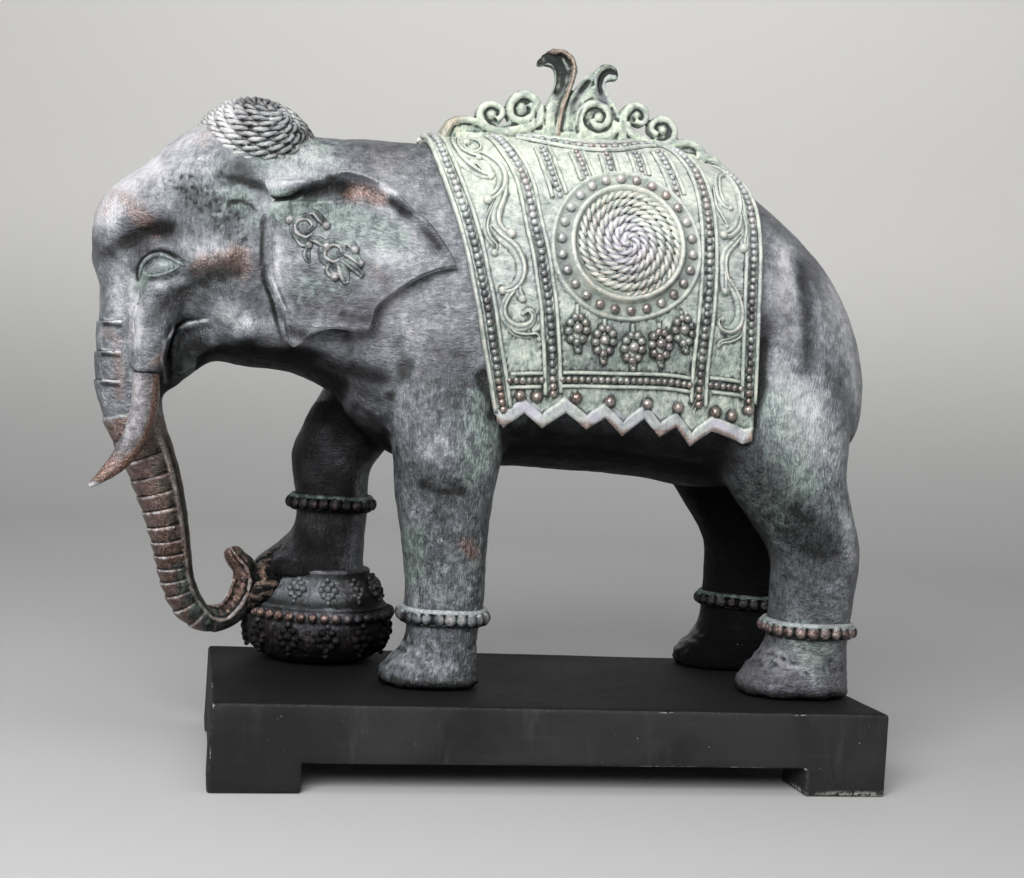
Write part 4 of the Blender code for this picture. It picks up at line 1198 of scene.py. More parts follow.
# z of each ring ledge on the upper trunk, with its x at the front and where it dies away
trunkLedges = (274.8, 255.4, 237.0)
ledgeForm = {"fadeFrom": -284, "fadeTo": -279.5, "out": 0.75, "back": 0.7, "length": 9}
headPaint = {
    # the first three pale strokes are painted highlights on the trunk's ledges; the strokes along the mouth's rim and
    # on the forehead, crown, cheek and jaw are painted highlights too
    "pale": [([(-293, 275.2), (-283, 274.4)], 0.9, 1.5), ([(-293, 256), (-283, 255.4)], 0.9, 1.5),
        ([(-292, 237.4), (-282, 236.8)], 0.9, 1.5),
        ([(-229, 279), (-240, 277), (-248.5, 272.5), (-254.2, 264), (-256, 252), (-253.5, 238)], 1, 1.3),
        ([(-286, 325), (-285, 300), (-283, 280)], 7, 0.6), ([(-214, 388), (-190, 392), (-168, 388)], 9, 0.8),
        ([(-296, 345), (-288, 362), (-272, 376)], 14, 1.3), ([(-268, 383), (-244, 396)], 12, 0.9),
        ([(-276, 300), (-274, 285), (-272, 262)], 5, 1), ([(-262, 300), (-256, 298), (-246, 302)], 5, 0.7),
        ([(-222, 286), (-206, 278)], 10, 0.6), ([(-240, 318), (-228, 323)], 7, 0.6)],
    # the first three dark strokes are painted shade just under the trunk's ledges
    "dark": [([(-293, 272.2), (-283, 271.6)], 1.6, 0.8), ([(-293, 253), (-283, 252.4)], 1.6, 0.8),
        ([(-292, 234.4), (-282, 233.8)], 1.6, 0.8),
        ([(-273.6, 301), (-274.2, 308), (-271.6, 314), (-266.6, 318), (-260, 319.6), (-253, 317.8), (-247, 314)], 1.3,
            0.9), ([(-266, 301.4), (-258, 301.8), (-250, 305.4)], 1.3, 0.9),
        ([(-290, 318), (-280, 327), (-268, 333), (-256, 333)], 7, 0.9),
        ([(-262, 276), (-254, 289), (-241, 297), (-228, 305), (-214, 308)], 7, 0.42),
        ([(-250, 236), (-245, 255), (-238, 262)], 12, 0.9), ([(-268, 303), (-259, 302), (-250, 307)], 2.4, 0.7),
        ([(-221, 368), (-208, 366), (-198, 362)], 4.5, 0.75),
        ([(-199, 345), (-199, 325), (-196, 305), (-188, 285), (-183, 270)], 1.4, 0.7),
        ([(-200, 262), (-180, 258), (-150, 254), (-120, 250)], 9, 0.9),
        ([(-250, 360), (-238, 352), (-224, 342), (-216, 352)], 11, 0.36),
        ([(-289, 250), (-284, 240), (-281, 226)], 7, 0.2)],
    "warm": [([(-236, 312), (-222, 317), (-210, 312)], 9, 0.62), ([(-286, 352), (-275, 341), (-264, 333)], 8, 0.62),
        ([(-296, 340), (-292, 356)], 5, 0.5), ([(-262, 248), (-256, 256)], 4, 0.5),
        ([(-291, 266), (-285, 262), (-283, 245), (-281, 228)], 6, 0.5)],
    "green": [([(-270, 300), (-272, 296)], 4, 1), ([(-216, 356), (-208, 344)], 8, 0.4),
        ([(-262, 315), (-258, 308), (-252, 312)], 5, 0.6), ([(-244, 240), (-236, 250)], 8, 0.5),
        ([(-196, 385), (-170, 392)], 12, 0.6)]}
bodyPaint = {
    # the dark stroke along the belly and the two lines at the bottom of the feet are painted shade
    "dark": [([(-108, 268), (-75, 245)], 22, 0.35), ([(-98, 195), (-70, 180)], 22, 0.5),
        ([(122, 208), (134, 188), (172, 158)], 29, 0.72), ([(160, 140), (180, 110)], 18, 0.5),
        ([(156, 345), (158, 310), (160, 275)], 6, 0.6), ([(128, 300), (128, 260), (122, 230)], 8, 0.7),
        ([(-140, 250), (-120, 235)], 12, 0.6), ([(-20, 215), (60, 212), (110, 212)], 22, 1),
        ([(145, 54), (205, 54)], 3.5, 0.9), ([(-105, 54), (-45, 54)], 3.5, 0.9),
        ([(-160, 125), (-140, 118)], 8, 0.4)],
    # the pale strokes on the rump and along its rear edge are painted highlights
    "pale": [([(126, 268), (146, 254), (162, 238)], 26, 0.72), ([(-104, 78), (-70, 68)], 12, 0.5),
        ([(146, 352), (142, 325), (146, 300)], 11, 0.9), ([(185, 330), (200, 290), (205, 255)], 12, 0.6),
        ([(150, 236), (165, 226)], 8, 0.6), ([(-92, 205), (-80, 200)], 8, 0.5), ([(-115, 300), (-105, 270)], 12, 0.7),
        ([(158, 80), (172, 76)], 10, 0.7), ([(195, 175), (200, 150)], 7, 0.6)],
    "green": [([(140, 250), (150, 225), (160, 200)], 14, 0.7), ([(-55, 240), (-52, 215), (-60, 195)], 8, 1),
        ([(-92, 150), (-95, 125)], 7, 0.8), ([(170, 96), (178, 84)], 12, 0.8)],
    "warm": [([(-62, 148), (-56, 142)], 6, 0.7), ([(-100, 285), (-90, 270)], 12, 0.22)]}


nailForm = {
    "turns": (-0.9, -0.45, 0, 0.45, 0.9), "reach": 31, "half": 6.2, "tall": 6.5, "z": 60, "height": 0.5,
    "groove": 0.35}
coveredForm = {"front": -42, "rear": 106, "above": 244, "thinned": 250}   # what the cloth hides
fineForm = {"headX": -184, "headZ": 222, "trunkX": -250, "eyeX": -262, "eyeLow": 214, "eyeHigh": 284, "calmX": -180}


def carveHide(mesh):
    bm = bmesh.new()
    bm.from_mesh(mesh)

    def refine(test):
        faces = [face for face in bm.faces if test(face.calc_center_median())]
        edges = list({edge for face in faces for edge in face.edges})
        bmesh.ops.subdivide_edges(bm, edges=edges, cuts=1, use_grid_fill=True)
    form = fineForm
    refine(lambda c: c.x < form["headX"] and c.z > form["headZ"] or c.x < form["trunkX"])
    refine(lambda c: c.x < form["eyeX"] and form["eyeLow"] < c.z < form["eyeHigh"])
    mesh = meshFrom(bm)
    here, ways = places(mesh), outward(mesh)
    fine = here[:, 0] < form["calmX"]
    calm = relaxed(here, mesh, 3)
    here[fine] = calm[fine]
    x, y, z = here.T
    flat, aside = here[:, [0, 2]], np.abs(ways[:, 1])
    push = pressed(flat, headMarks) * ease(aside, 0.15, 0.5) * (x < -120)
    rough = np.exp(-(toLine(flat, crumble)[0] / 15) ** 2) * (aside > 0.3)
    push += rough * (lumps(here, 5, 3) * 1.3 + lumps(here, 2.6, 6) * 0.8)
    folded = here * [1, -1, 1]
    for line, width, height in bodyMarks:
        line = evenPath(line, 6, measured=3)
        for sided in (here, folded):
            gap, share = toLine(sided, line)
            fade = ease(share, 0, 0.2) * ease(share, 1, 0.8)
            push += height * np.exp(-(gap / width) ** 2) * fade
    for ledge in trunkLedges:
        below = ledge + (x + 290) * 0.03 - z
        rim = np.where(below > 0, ledgeForm["out"] * np.exp(-below / ledgeForm["length"]),
            -ledgeForm["back"] * np.exp(below / 4))
        rim *= ease(below, -12, -7) * ease(below, 20, 13)
        push += rim * ease(x, ledgeForm["fadeTo"], ledgeForm["fadeFrom"])
    for footX, footY, long, wide in feet:
        # wrinkles round the foot, then five nails towards the front
        angle = np.arctan2((y - footY) / wide, (x - footX) / long)
        nearFoot = (np.hypot((x - footX) / long, (y - footY) / wide) < 1.25)
        rough = ease(z, 92, 80) * nearFoot
        push += rough * (np.sin(z * 0.9 + 3.5 * lumps(here, 14, 2)) * 0.3 + lumps(here, 6, 7) * 0.6
            + lumps(here, 3.2, 8) * 0.35)
        form = nailForm
        for turn in form["turns"]:
            off = np.abs((angle - pi - turn + pi) % tau - pi) * form["reach"]
            nail = np.hypot(off / form["half"], (z - form["z"]) / form["tall"])
            push += nearFoot * (form["height"] * ease(nail, 1.0, 0.75)
                - form["groove"] * np.exp(-((nail - 1.05) / 0.2) ** 2))
    push += lumps(here, 34, 1) * 1.0 + lumps(here, 13, 4) * 0.5 + lumps(here, 5.5, 9) * 0.28
    form = coveredForm
    covered = (x > form["front"]) & (x < form["rear"]) & (z > form["above"])
    push[covered] = 0
    here += ways * push[:, None]
    here[:, 2] = np.maximum(here[:, 2], standZ)
    movePlaces(mesh, here)
    under = np.nonzero(covered & (z > form["thinned"]))[0]
    return shapedBy(mesh, [("DECIMATE", {"ratio": hideForm["kept"], "vertex_group": "covered"})], under)


# Dabs of colour, the same on both sides: x, y, z, reach, amount
dabs = {
    "warm": [(-120, -40, 385, 34, 0.3), (-296, -8, 345, 16, 0.5), (-214, -50, 318, 11, 0.8),
        (-238, -30, 392, 12, 0.5), (-276, -34, 341, 12, 0.35), (-120, -30, 398, 20, 0.35), (205, -40, 345, 20, 0.3),
        (-100, -60, 250, 20, 0.25)],
    "green": [(-222, -46, 356, 20, 0.2), (-196, -45, 385, 16, 0.4), (-270, -34, 298, 8, 0.8),
        (-252, -8, 255, 16, 0.35), (-52, -60, 230, 22, 0.6), (-56, -64, 200, 16, 0.5), (170, -70, 200, 36, 0.15),
        (140, -70, 180, 30, 0.35), (-60, -60, 130, 24, 0.3)],
    # the pale dabs are painted highlights and sheen on the forehead, crown, cheek, jaw, shoulder, back and rump
    "pale": [(-288, -18, 362, 24, 1), (-262, -30, 372, 26, 0.7), (-275, -30, 284, 10, 0.9),
        (-208, -36, 279, 11, 0.45), (-240, -44, 318, 16, 0.4), (-186, -48, 384, 16, 0.8), (200, -60, 300, 30, 0.5),
        (222, -40, 270, 24, 0.5), (-110, -66, 262, 20, 0.4), (140, -64, 366, 14, 0.5)],
    # the dark dabs under the belly and chest and on the far legs are painted shade
    "dark": [(-277, -34, 327, 13, 0.7), (-236, -40, 300, 16, 0.4), (-240, -26, 262, 16, 0.6),
        (-215, -46, 374, 12, 0.7), (0, 0, 205, 70, 0.8), (60, 0, 205, 70, 0.8), (-120, 0, 235, 50, 0.6),
        (150, -78, 310, 16, 0.5), (-150, 40, 180, 40, 0.4), (170, 50, 120, 60, 0.4)]}


def tint(mesh):
    here = places(mesh)
    for name, spots in dabs.items():
        amount = np.zeros(len(here))
        for x, y, z, reach, strength in spots:
            for flip in (1, -1):
                gap = np.linalg.norm(here - (x, y * flip, z), axis=1)
                amount = np.maximum(amount, strength * np.exp(-(gap / reach) ** 2))
        paint(mesh, **{name: amount})


ears = {side: formEar(side) for side in (-1, 1)}
for side, name in bothSides:
    tree = treeOf(ears[side])
    curls = curlsOnEar(side, tree)
    relief(curls, tree, 4.0)
    paint(curls, hollow=painted(curls, "hollow") + np.clip(hollows(curls, 3, 0.3), -1.2, 1.2),
          dark=0.42 + 0.5 * lumps(places(curls), 6, 2),
          green=np.full(len(curls.vertices), 0.25))
    roughen(curls, (2.2, 6, 0.28))
    addPiece(curls, f"ear_curls_{name}")
    paint(ears[side], hollow=np.clip(hollows(ears[side], 6, 0.5), -0.8, 0.8))
    tint(ears[side])
    paintLines(ears[side], earPaint)
    addPiece(ears[side], f"ear_{name}", smooth=50)
hide = carveHide(hide)
here, ways, x, y, z = surfaceOf(hide)
# painted shade: a dark band round the bottom of each foot, where it stands on the plinth
footBaseShade = ease(z + lumps(here, 7, 4) * 3, 63, 56) * (x > -110)
paint(hide, hollow=np.maximum(np.clip(hollows(hide, 5, 0.55) + hollows(hide, 28, 5), -0.8, 0.9), footBaseShade))
tint(hide)
paintLines(hide, headPaint)
paintLines(hide, bodyPaint)
# painted shade: the insides of the legs, the far legs, the lower legs, the underside of the belly and the chin are
# painted darker
farLegs = (y > 8) & (z < 232)
inner = ease(-ways[:, 1] * np.sign(y) - 0.6 * ways[:, 2] - 0.7 * ways[:, 0] * farLegs, 0.05, 0.8)
low = ease(z, 262, 225) * (x > -215)
raised = (y > 8) * (x < -95) * ease(z, 250, 200)
shadow = np.maximum(inner * low * (1.8 - 0.85 * raised) * (1 + 0.25 * lumps(here, 13, 3)),
    raised * 0.55) + 0.3 * ease(z, 235, 150) * (x > -215) * (1 - raised)
shadow = np.maximum(shadow, 1.2 * ease(-ways[:, 2], 0.3, 0.8) * ease(z, 285, 262) * (x > -235))
paint(hide, dark=np.maximum(painted(hide, "dark"), shadow))
hideTree = treeOf(hide)
addPiece(hide, "body", tooledHide, "elephant")
print("hide carved")


# Eyes: a ball sunk in the socket between two lids

upperLid = [
    (-272.2, 302.4, 0.5), (-272, 307, 0.9), (-270.2, 311.8, 1.15), (-266.4, 315.4, 1.25), (-260.9, 317, 1.25),
    (-255, 315.8, 1.15), (-250.2, 313.2, 0.95), (-245.4, 311, 0.4)]
lowerLid = [(-268, 303.6, 0.5), (-264, 303.4, 0.9), (-259, 304.4, 1), (-253.9, 306.8, 0.95), (-248.4, 310.4, 0.5)]
for side, name in bothSides:
    onto = ontoTree(hideTree, side)
    bm = bmesh.new()
    for lid, lift in ((upperLid, 0.5), (lowerLid, 0.35)):
        path = evenPath(lid, 0.8)
        centres = onto(path[:, 0], path[:, 1], lift)
        for _ in range(4):
            centres[1:-1] = (centres[:-2] + centres[1:-1] + centres[2:]) / 3
        tube(bm, centres, (0, side, 0), path[:, 2] * 1.15, 10)
    foot = onto(-258.8, 309.2, 0.0)
    turn = Matrix.Rotation(radians(-19), 4, "Y") @ Matrix.Rotation(side * 0.12, 4, "Z")
    bmesh.ops.create_uvsphere(bm, u_segments=32, v_segments=20, radius=1.0, matrix=Matrix.Translation(Vector(foot)
        - Vector((0, side * 1.6, 0))) @ turn @ Matrix.Diagonal((9.6, 4.6, 5.4, 1)))
    eye = weldedMesh(bm)
    paint(eye, hollow=np.clip(hollows(eye, 2, 0.5), -0.5, 0.5),
          green=np.full(len(eye.vertices), 0.4),
          pale=np.full(len(eye.vertices), 0.2))
    addPiece(eye, f"eye_{name}")


# Lower trunk: stacked cups down its outer side, an open inner face past the bend

trunkForm = {
    "spacing": 0.85, "sides": 60, "cup": 0.95, "start": 222,
    "ledges": (219.5, 205, 191.5, 179.5, 168.4, 157.6, 147.4, 137.4, 128, 119.4, 110.8, 102, 93.6)}
trunkTip = [
    (-220, 18, 82.5, 9, 10.4), (-208, 21, 82.8, 8.5, 10.4), (-199, 24, 90, 9.2, 11.2), (-193.5, 26, 100, 10.2, 12),
    (-192, 27, 109, 9.8, 11.5), (-195, 27, 116.8, 7.8, 8.8), (-199.8, 27, 122, 6.5, 7.2), (-202.8, 27, 125.6, 6, 6.6),
    (-204.6, 27, 128.2, 4.4, 4.8), (-205.4, 27, 129.8, 1.6, 1.8)]
trunkLip = [
    (-197, 27, 104, 5, 7), (-192, 27, 107, 8, 10), (-184, 29, 110.5, 10.5, 12), (-175, 33, 115, 12.5, 13),
    (-165, 37, 121, 13, 14), (-155, 40, 127, 11, 13), (-146, 42, 131, 7, 9)]
trunkWeb = [
    (-198, 22, 88, 4, 5), (-192, 23, 95, 8, 9), (-184, 25, 102, 10, 11), (-175, 30, 108, 10, 12),
    (-164, 36, 114, 6, 8)]


def formTrunk():
    form = trunkForm
    rows = trunkRows[3:12] + trunkTip
    table = evenPath(rows, form["spacing"], measured=3, steps=14)
    table = table[np.argmax(table[:, 2] < form["start"]):]
    run = np.arange(len(table)) * form["spacing"]
    bend = np.argmax(table[:, 2] < 84)
    starts = [run[np.argmax(table[:bend, 2] < z)] for z in form["ledges"]]
    starts += [starts[-1] + 11, starts[-1] + 22]
    cup = np.zeros(len(table))
    for a, b in zip(starts, starts[1:] + [starts[-1] + 11]):
        inside = (run >= a) & (run < b)
        along = (run[inside] - a) / (b - a)
        cup[inside] = 1.25 * np.minimum(along / 0.12, 1) ** 0.5 - 1.35 * along ** 1.3
    angles = around(form["sides"])
    past = ease(run, run[bend] - 5, run[bend] + 18)
    rings = []
    roll = 0.8 * past
    for i, (x, y, z, thick, wide) in enumerate(table):
        side, up = squareTo(table, i)
        front = np.sin(angles + roll[i])
        reach = 1 + 0 * angles
        outer = ease(front, -0.62, -0.45) * (1 - 0.75 * past[i])
        push = form["cup"] * (cup[i] - 0.55) * outer
        push += 1.0 * np.exp(-((front + 0.62) / 0.10) ** 2) * (1 + 0.3 * past[i])
        inner = ease(front, -0.70, -0.86)
        push -= inner * (0.7 + past[i] * (1.3 - 0.3 * cos(run[i] * tau / 5.5)) * (run[-1] - run[i] > 24))
        if i < 3:
            reach = reach * (0.6 + 0.13 * i)
        place = (
            np.array((x, y, z)) + np.outer(np.cos(angles) * (wide * reach + push), side)
            + np.outer(np.sin(angles) * (thick * reach + push), up))
        rings.append(place)
    bm = bmesh.new()
    closedSheet(bm, np.array(rings), table[[0, -1], :3])
    welded(bm)
    loft(bm, limb(trunkLip, steps=8), 40)
    loft(bm, limb(trunkWeb, steps=8), 36)
    facingOut(bm)
    mesh = meshFrom(bm)
    here = places(mesh)
    near = ease(here[:, 0], -200, -188) * (here[:, 2] > 90)
    roughen(mesh, (6, 3, 0.35 + 0.9 * near), (2.5, 7, 0.15 + 0.3 * near))
    return mesh


trunk = formTrunk()
rimmed = hollows(trunk, 4, 0.3)
lit = ease(rimmed, -0.55, -1.1)
here, facing = places(trunk), outward(trunk)[:, 0]
x, y, z = here.T
joint = ease(x, -196, -184) * (z > 86)
upper = ease(z, 190, 222)
within = ease(facing, -0.5, 0.0)
paint(trunk, hollow=np.clip(rimmed, -0.9, 0.9) * (1 - 0.5 * upper) * (1 - 0.85 * within * (rimmed < 0)))
copper = 0.62 * ease(z, 205, 165) * ease(facing, 0.25, -0.6) + 0.25 * ease(z, 150, 100) + 0.7 * ease(z, 117, 124)
paint(trunk, warm=(copper + 0.25 * lumps(here, 12, 5)) * (1 - joint) * (1 - lit) + 0.2 * joint + 0.6 * lit * within,
      green=(0.4 * ease(facing, -0.3, 0.4) + 0.3 * upper) * (1 - joint) + 0.3 * joint,
      dark=(0.5 + 0.3 * ease(facing, -0.2, 0.5)) * (1 - lit) * (1 - 0.62 * upper) + 0.8 * joint,
      pale=0.5 * lit * (1 - joint) * (1 - 0.6 * upper) * (1 - within))
addPiece(trunk, "trunk")


# Tusks, butted on their sheaths

tuskRows = [
    (-265.6, -30, 247, 8.3, 8.3), (-264.8, -31, 228, 8.6, 8.4), (-266.4, -32.5, 213, 8.3, 7.8),
    (-271.5, -34.5, 198.5, 7.6, 6.8), (-279.3, -36.5, 186, 6, 5.2), (-287.5, -38, 177.5, 3.8, 3.6),
    (-295, -39, 171, 1.4, 1.4)]
tuskSeat = 242.9
tuskFinish = patina("tusk_resin", dict(slateLook, rough=0.3, metal=0.35, mottled=1.0, cloudy=0.7,
    stops=((0.2, (0.018, 0.015, 0.015, 1)), (0.42, (0.07, 0.066, 0.068, 1)), (0.58, (0.16, 0.155, 0.165, 1)),
    (0.85, (0.42, 0.40, 0.41, 1))), copperDeep=(0.13, 0.055, 0.035, 1), copperPale=(0.42, 0.25, 0.19, 1), warmAll=0.0,
    rubMost=0.75, greenAll=-0.15))
for side, name in bothSides:
    bm = bmesh.new()
    loft(bm, limb(tuskRows if side < 0 else mirroredRows(tuskRows), 2.0, 9), 32)
    cut = sliced(bm, (0, 0, tuskSeat), upAxis, clear_outer=True)
    rim = [item for item in cut["geom_cut"] if isinstance(item, bmesh.types.BMEdge)]
    bmesh.ops.contextual_create(bm, geom=rim)
    facingOut(bm)
    tusk = meshFrom(bm)
    here, ways, x, y, z = surfaceOf(tusk)
    movePlaces(tusk, here + ways * (lumps(here * (1, 1, 0.4), 4, side) * 0.22)[:, None] * (here[:, 2:3] < 240))
    facing = ways[:, 0]
    # painted highlight: paler along the side that faces forward, besides the pale tip
    paint(tusk, pale=0.8 * ease(facing, 0.1, -0.8) * ease(z, 190, 215) + 1.2 * ease(z, 174.5, 172),
          warm=0.75 * ease(facing, 0.1, 0.7) + 0.65 * ease(z, 204, 184) - 0.9 * ease(z, 175, 172.5),
          hollow=0.5 * lumps(here * (1, 1, 0.35), 5, 3))
    addPiece(tusk, f"tusk_{name}", tuskFinish, f"{name}_tusk", smooth=50)


# Tail, cast flat against the rump

# z, half thickness, half width and how far its middle stands off the rump
tailRows = []
for z, thick, wide, off in ((350, 5, 7, -3), (342, 6, 7, -1), (330, 6, 6.5, 0), (314, 5.5, 5.6, 0), (294, 5, 5, 0),
        (272, 4.6, 4.6, 0), (250, 4.4, 4.4, 0), (232, 4.4, 5, 0), (216, 5, 6.5, 0), (202, 4.4, 6, 0),
        (192, 2, 2.5, 0)):
    rump = hideTree.ray_cast(Vector((300, 0, z)), -alongAxis)[0]
    tailRows.append(((rump.x if rump is not None and rump.x > 150 else tailRows[-1][0] - 1) + off, 0, z, thick, wide))
bm = bmesh.new()
loft(bm, limb(tailRows, steps=12), 28)
facingOut(bm)
tail = meshFrom(bm)
here, ways, x, y, z = surfaceOf(tail)
angle = np.arctan2(y, 3)
hair = np.sin(angle * 14) * 0.7 * ease(z, 232, 214) + np.sin(z * 1.3) * 0.18
movePlaces(tail, here + ways * hair[:, None])
paint(tail, hollow=np.clip(hollows(tail, 3, 0.4), -0.8, 0.8))
addPiece(tail, "tail")
print("head, trunk and tail done")


# Anklets: beads between a ridge and a wire. x, y, z, then half lengths of the loop

ankletForm = {"beads": 24, "bead": 4.05, "ridge": 2.1, "wire": 1.05}
anklets = [
    ("front_left", -69, -43, 99, 28.2, 28.2), ("front_right", -137.5, 43, 162, 28.6, 28.6),
    ("hind_left", 181.5, -52, 99.5, 30.8, 29), ("hind_right", 171.5, 50, 104, 30.8, 29)]
for name, x, y, z, long, wide in anklets:
    bm = bmesh.new()
    angles = around(96, False)
    wobble = 0.35 * np.sin(angles * 3 + x)

    def loop(lift, out):
        return np.stack([x + (long + out) * np.cos(angles), y + (wide + out) * np.sin(angles), z + lift + wobble],
            axis=1)
    tube(bm, loop(4.0, -1.6), (0, 0, 1), ankletForm["ridge"], 10, closed=True)
    tube(bm, loop(-0.4, -2.2), (0, 0, 1), 3.2, 10, closed=True)
    tube(bm, loop(-4.0, -1.5), (0, 0, 1), ankletForm["wire"], 8, closed=True)
    for angle in around(ankletForm["beads"], False):
        out = Vector((cos(angle), sin(angle), 0))
        centre = (x + long * out.x, y + wide * out.y, z + 0.35 * sin(angle * 3 + x))
        bead(bm, centre, out, ankletForm["bead"] * (1 + chance.normal(0, 0.05)), 0.8, 12, 8)
    ring = weldedMesh(bm)
    here = places(ring)
    reach = np.hypot((here[:, 0] - x) / long, (here[:, 1] - y) / wide)
    onRidge = here[:, 2] > z + 3.2 + 0.35 * np.sin(3 * np.arctan2(here[:, 1] - y, here[:, 0] - x) + x)
    paint(ring, hollow=np.where(onRidge, -0.45, 1.1 - 1.9 * ease(reach, 1.0, 1.12)))
    # painted shade: the anklets on the far legs are painted darker, less pale and less copper
    far = 0.9 if y > 0 else 0.0
    spin = lumps(np.stack([here[:, 0], here[:, 1], 0 * here[:, 2]], axis=1), 5.5, 4)
    paint(ring, pale=(0.6 - far) * onRidge + (0.6 * spin - 0.2) * (1 - far) * ~onRidge - far * 0.6,
          warm=((0.6 if name == "hind_left" else 0.1) + 0.5 * spin) * (1 - 0.6 * far) * (reach > 1.02)
              * (here[:, 2] < z + 3),
          dark=far * 0.9 + np.clip(0.12 - 0.9 * spin, 0, 0.5) * (~onRidge),
          green=0.4 * onRidge + 0.1)
    addPiece(ring, f"anklet_{name}")


# Ball under the raised foot, turned, with rosettes and a belt of beads

ballForm = {"x": -142, "y": 44, "turn": 0.05, "rosettes": 12, "belt": 40}
ballProfile = [
    (0, standZ), (27, standZ), (33, 54.6), (40, 57.6), (46, 62.6), (49.4, 69), (50.4, 76), (49.4, 82), (48.4, 84.4),
    (48.8, 86), (49, 88), (48.8, 90), (47.4, 91.6), (47.6, 92.8), (46.6, 93.8), (45.2, 95), (41.6, 102.5), (37, 110),
    (34, 115), (34.2, 116.4), (33.4, 117.5), (31.6, 118), (28, 118), (0, 118)]


def ballAt(angle, radius, z):
    # angle 0 faces the elephant's left
    return Vector((ballForm["x"] + radius * sin(angle), ballForm["y"] - radius * cos(angle), z))


bm = bmesh.new()
turned(bm, ballProfile, ballForm["x"], ballForm["y"], 72)
for k in range(ballForm["belt"]):
    angle = k * tau / ballForm["belt"]
    bead(bm, ballAt(angle, 50.4, 88), ballAt(angle, 1, 0) - ballAt(angle, 0, 0), 3.5, 0.85, 10, 8)
for k in range(ballForm["rosettes"]):
    angle = ballForm["turn"] + k * tau / ballForm["rosettes"]
    for radius, z, slope, size in ((40.6, 105.2, -0.5, 1.0), (49.2, 73.0, 0.12, 1.25)):
        if z > 90 and k == 10:
            continue
        way = (ballAt(angle, 1, 0) - ballAt(angle, 0, 0)) * cos(slope) - upAxis * sin(slope)
        aside = (ballAt(angle + 0.01, 1, 0) - ballAt(angle, 1, 0)).normalized()
        rise = aside.cross(way) * (1 if aside.cross(way).z > 0 else -1)
        spread = [
            (0, 7.6, 1.7), (-2.6, 4.2, 2.1), (2.6, 4.4, 2.1), (-4.6, 0.6, 2.2), (4.6, 0.4, 2.2), (0, 1.4, 2.7),
            (-2.8, -3.4, 2.1), (2.8, -3.2, 2.1), (0, -5.6, 2.0), (0, -8.6, 1.4)]
        for off, lift, big in spread:
            spot = ballAt(angle, radius, z) + aside * (off * size) + rise * (lift * size)
            bead(bm, spot, way, big * size * (1.12 + chance.normal(0, 0.06)), 1.0, 8, 6)
ball = weldedMesh(bm)
here = places(ball)
x, y, z = here.T
roughen(ball, (7, 6, 0.35), where=here[:, 2:3] > 55)
paint(ball, hollow=np.clip(hollows(ball, 4, 0.4), -0.8, 0.8))
reach = np.hypot(x - ballForm["x"], y - ballForm["y"])
paint(ball, warm=0.8 * ((np.abs(z - 88) < 3) & (reach > 51)) * ease(x, -120, -150),
      green=0.15 * ease(z, 90, 95),
      dark=0.5 + 0.7 * ease(z, 88, 78) + 0.9 * ease(x, -135, -105),
      pale=0.3 * ease(z, 92, 97) * ease(x, -130, -150))
addPiece(ball, "foot_ball", smooth=40)
print("anklets and ball done")


# Crown cap: a coiled rope over a dome

capForm = {
    "centre": (-204, 0, 391), "size": (41.5, 46.5, 35.5), "tilt": 15, "pole": (0.09, 0.64, 0.765), "pitch": 6.7,
    "radius": 3.75, "lead": 19, "reach": 70, "sink": 3.2, "spacing": 1.3}


def onCap(ways, lift):
    # the dome's place in each direction from its centre
    spot = ways * (np.array(capForm["size"]) + lift)
    return spot @ np.array(Matrix.Rotation(radians(capForm["tilt"]), 3, "Y")).T + capForm["centre"]


def coilCap(bm, side):
    # rope coiled about a pole on one side of the dome, as far as the middle plane and the hide
    form = capForm
    pole = Vector(form["pole"])
    pole.y *= side
    pole.normalize()
    first = pole.orthogonal().normalized()
    pole, first, second = np.array(pole), np.array(first), np.array(pole.cross(first)) * side
    slant = np.linspace(0, 1.9, 160)
    turns = around(96)
    ways = (
        np.cos(slant)[None, :, None] * pole + np.sin(slant)[None, :, None] * (np.cos(turns)[:, None, None] * first
        + np.sin(turns)[:, None, None] * second))
    steps = np.linalg.norm(np.diff(onCap(ways, -form["sink"]), axis=1), axis=2)
    climb = np.concatenate([np.zeros((len(turns), 1)), np.cumsum(steps, axis=1)], axis=1)
    theta = [0.8]
    while form["pitch"] * theta[-1] / tau < form["reach"]:
        theta.append(theta[-1] + form["spacing"] / max(form["pitch"] * theta[-1] / tau, 1.5))
    route = []
    for angle in theta:
        place = angle % tau / tau * (len(turns) - 1)
        row = int(place)
        line = climb[row] * (row + 1 - place) + climb[min(row + 1, len(turns) - 1)] * (place - row)
        lean = np.interp(form["pitch"] * angle / tau, line, slant)
        route.append(cos(lean) * pole + sin(lean) * (cos(angle) * first + sin(angle) * second))
    route = onCap(np.array(route), -form["sink"])
    runs, run = [], []
    for spot in route:
        hit, way, _, _ = hideTree.find_nearest(Vector(spot))
        inside = (Vector(spot) - hit).dot(way) < -4.5
        if inside or spot[1] * side < -0.8 or spot[2] < 370:
            if len(run) > 4:
                runs.append(run)
            run = []
        else:
            run.append(spot)
    for run in runs + ([run] if len(run) > 4 else []):
        run = np.array(run)
        tube(bm, run, run - form["centre"], form["radius"], 12, 1.0, form["lead"])


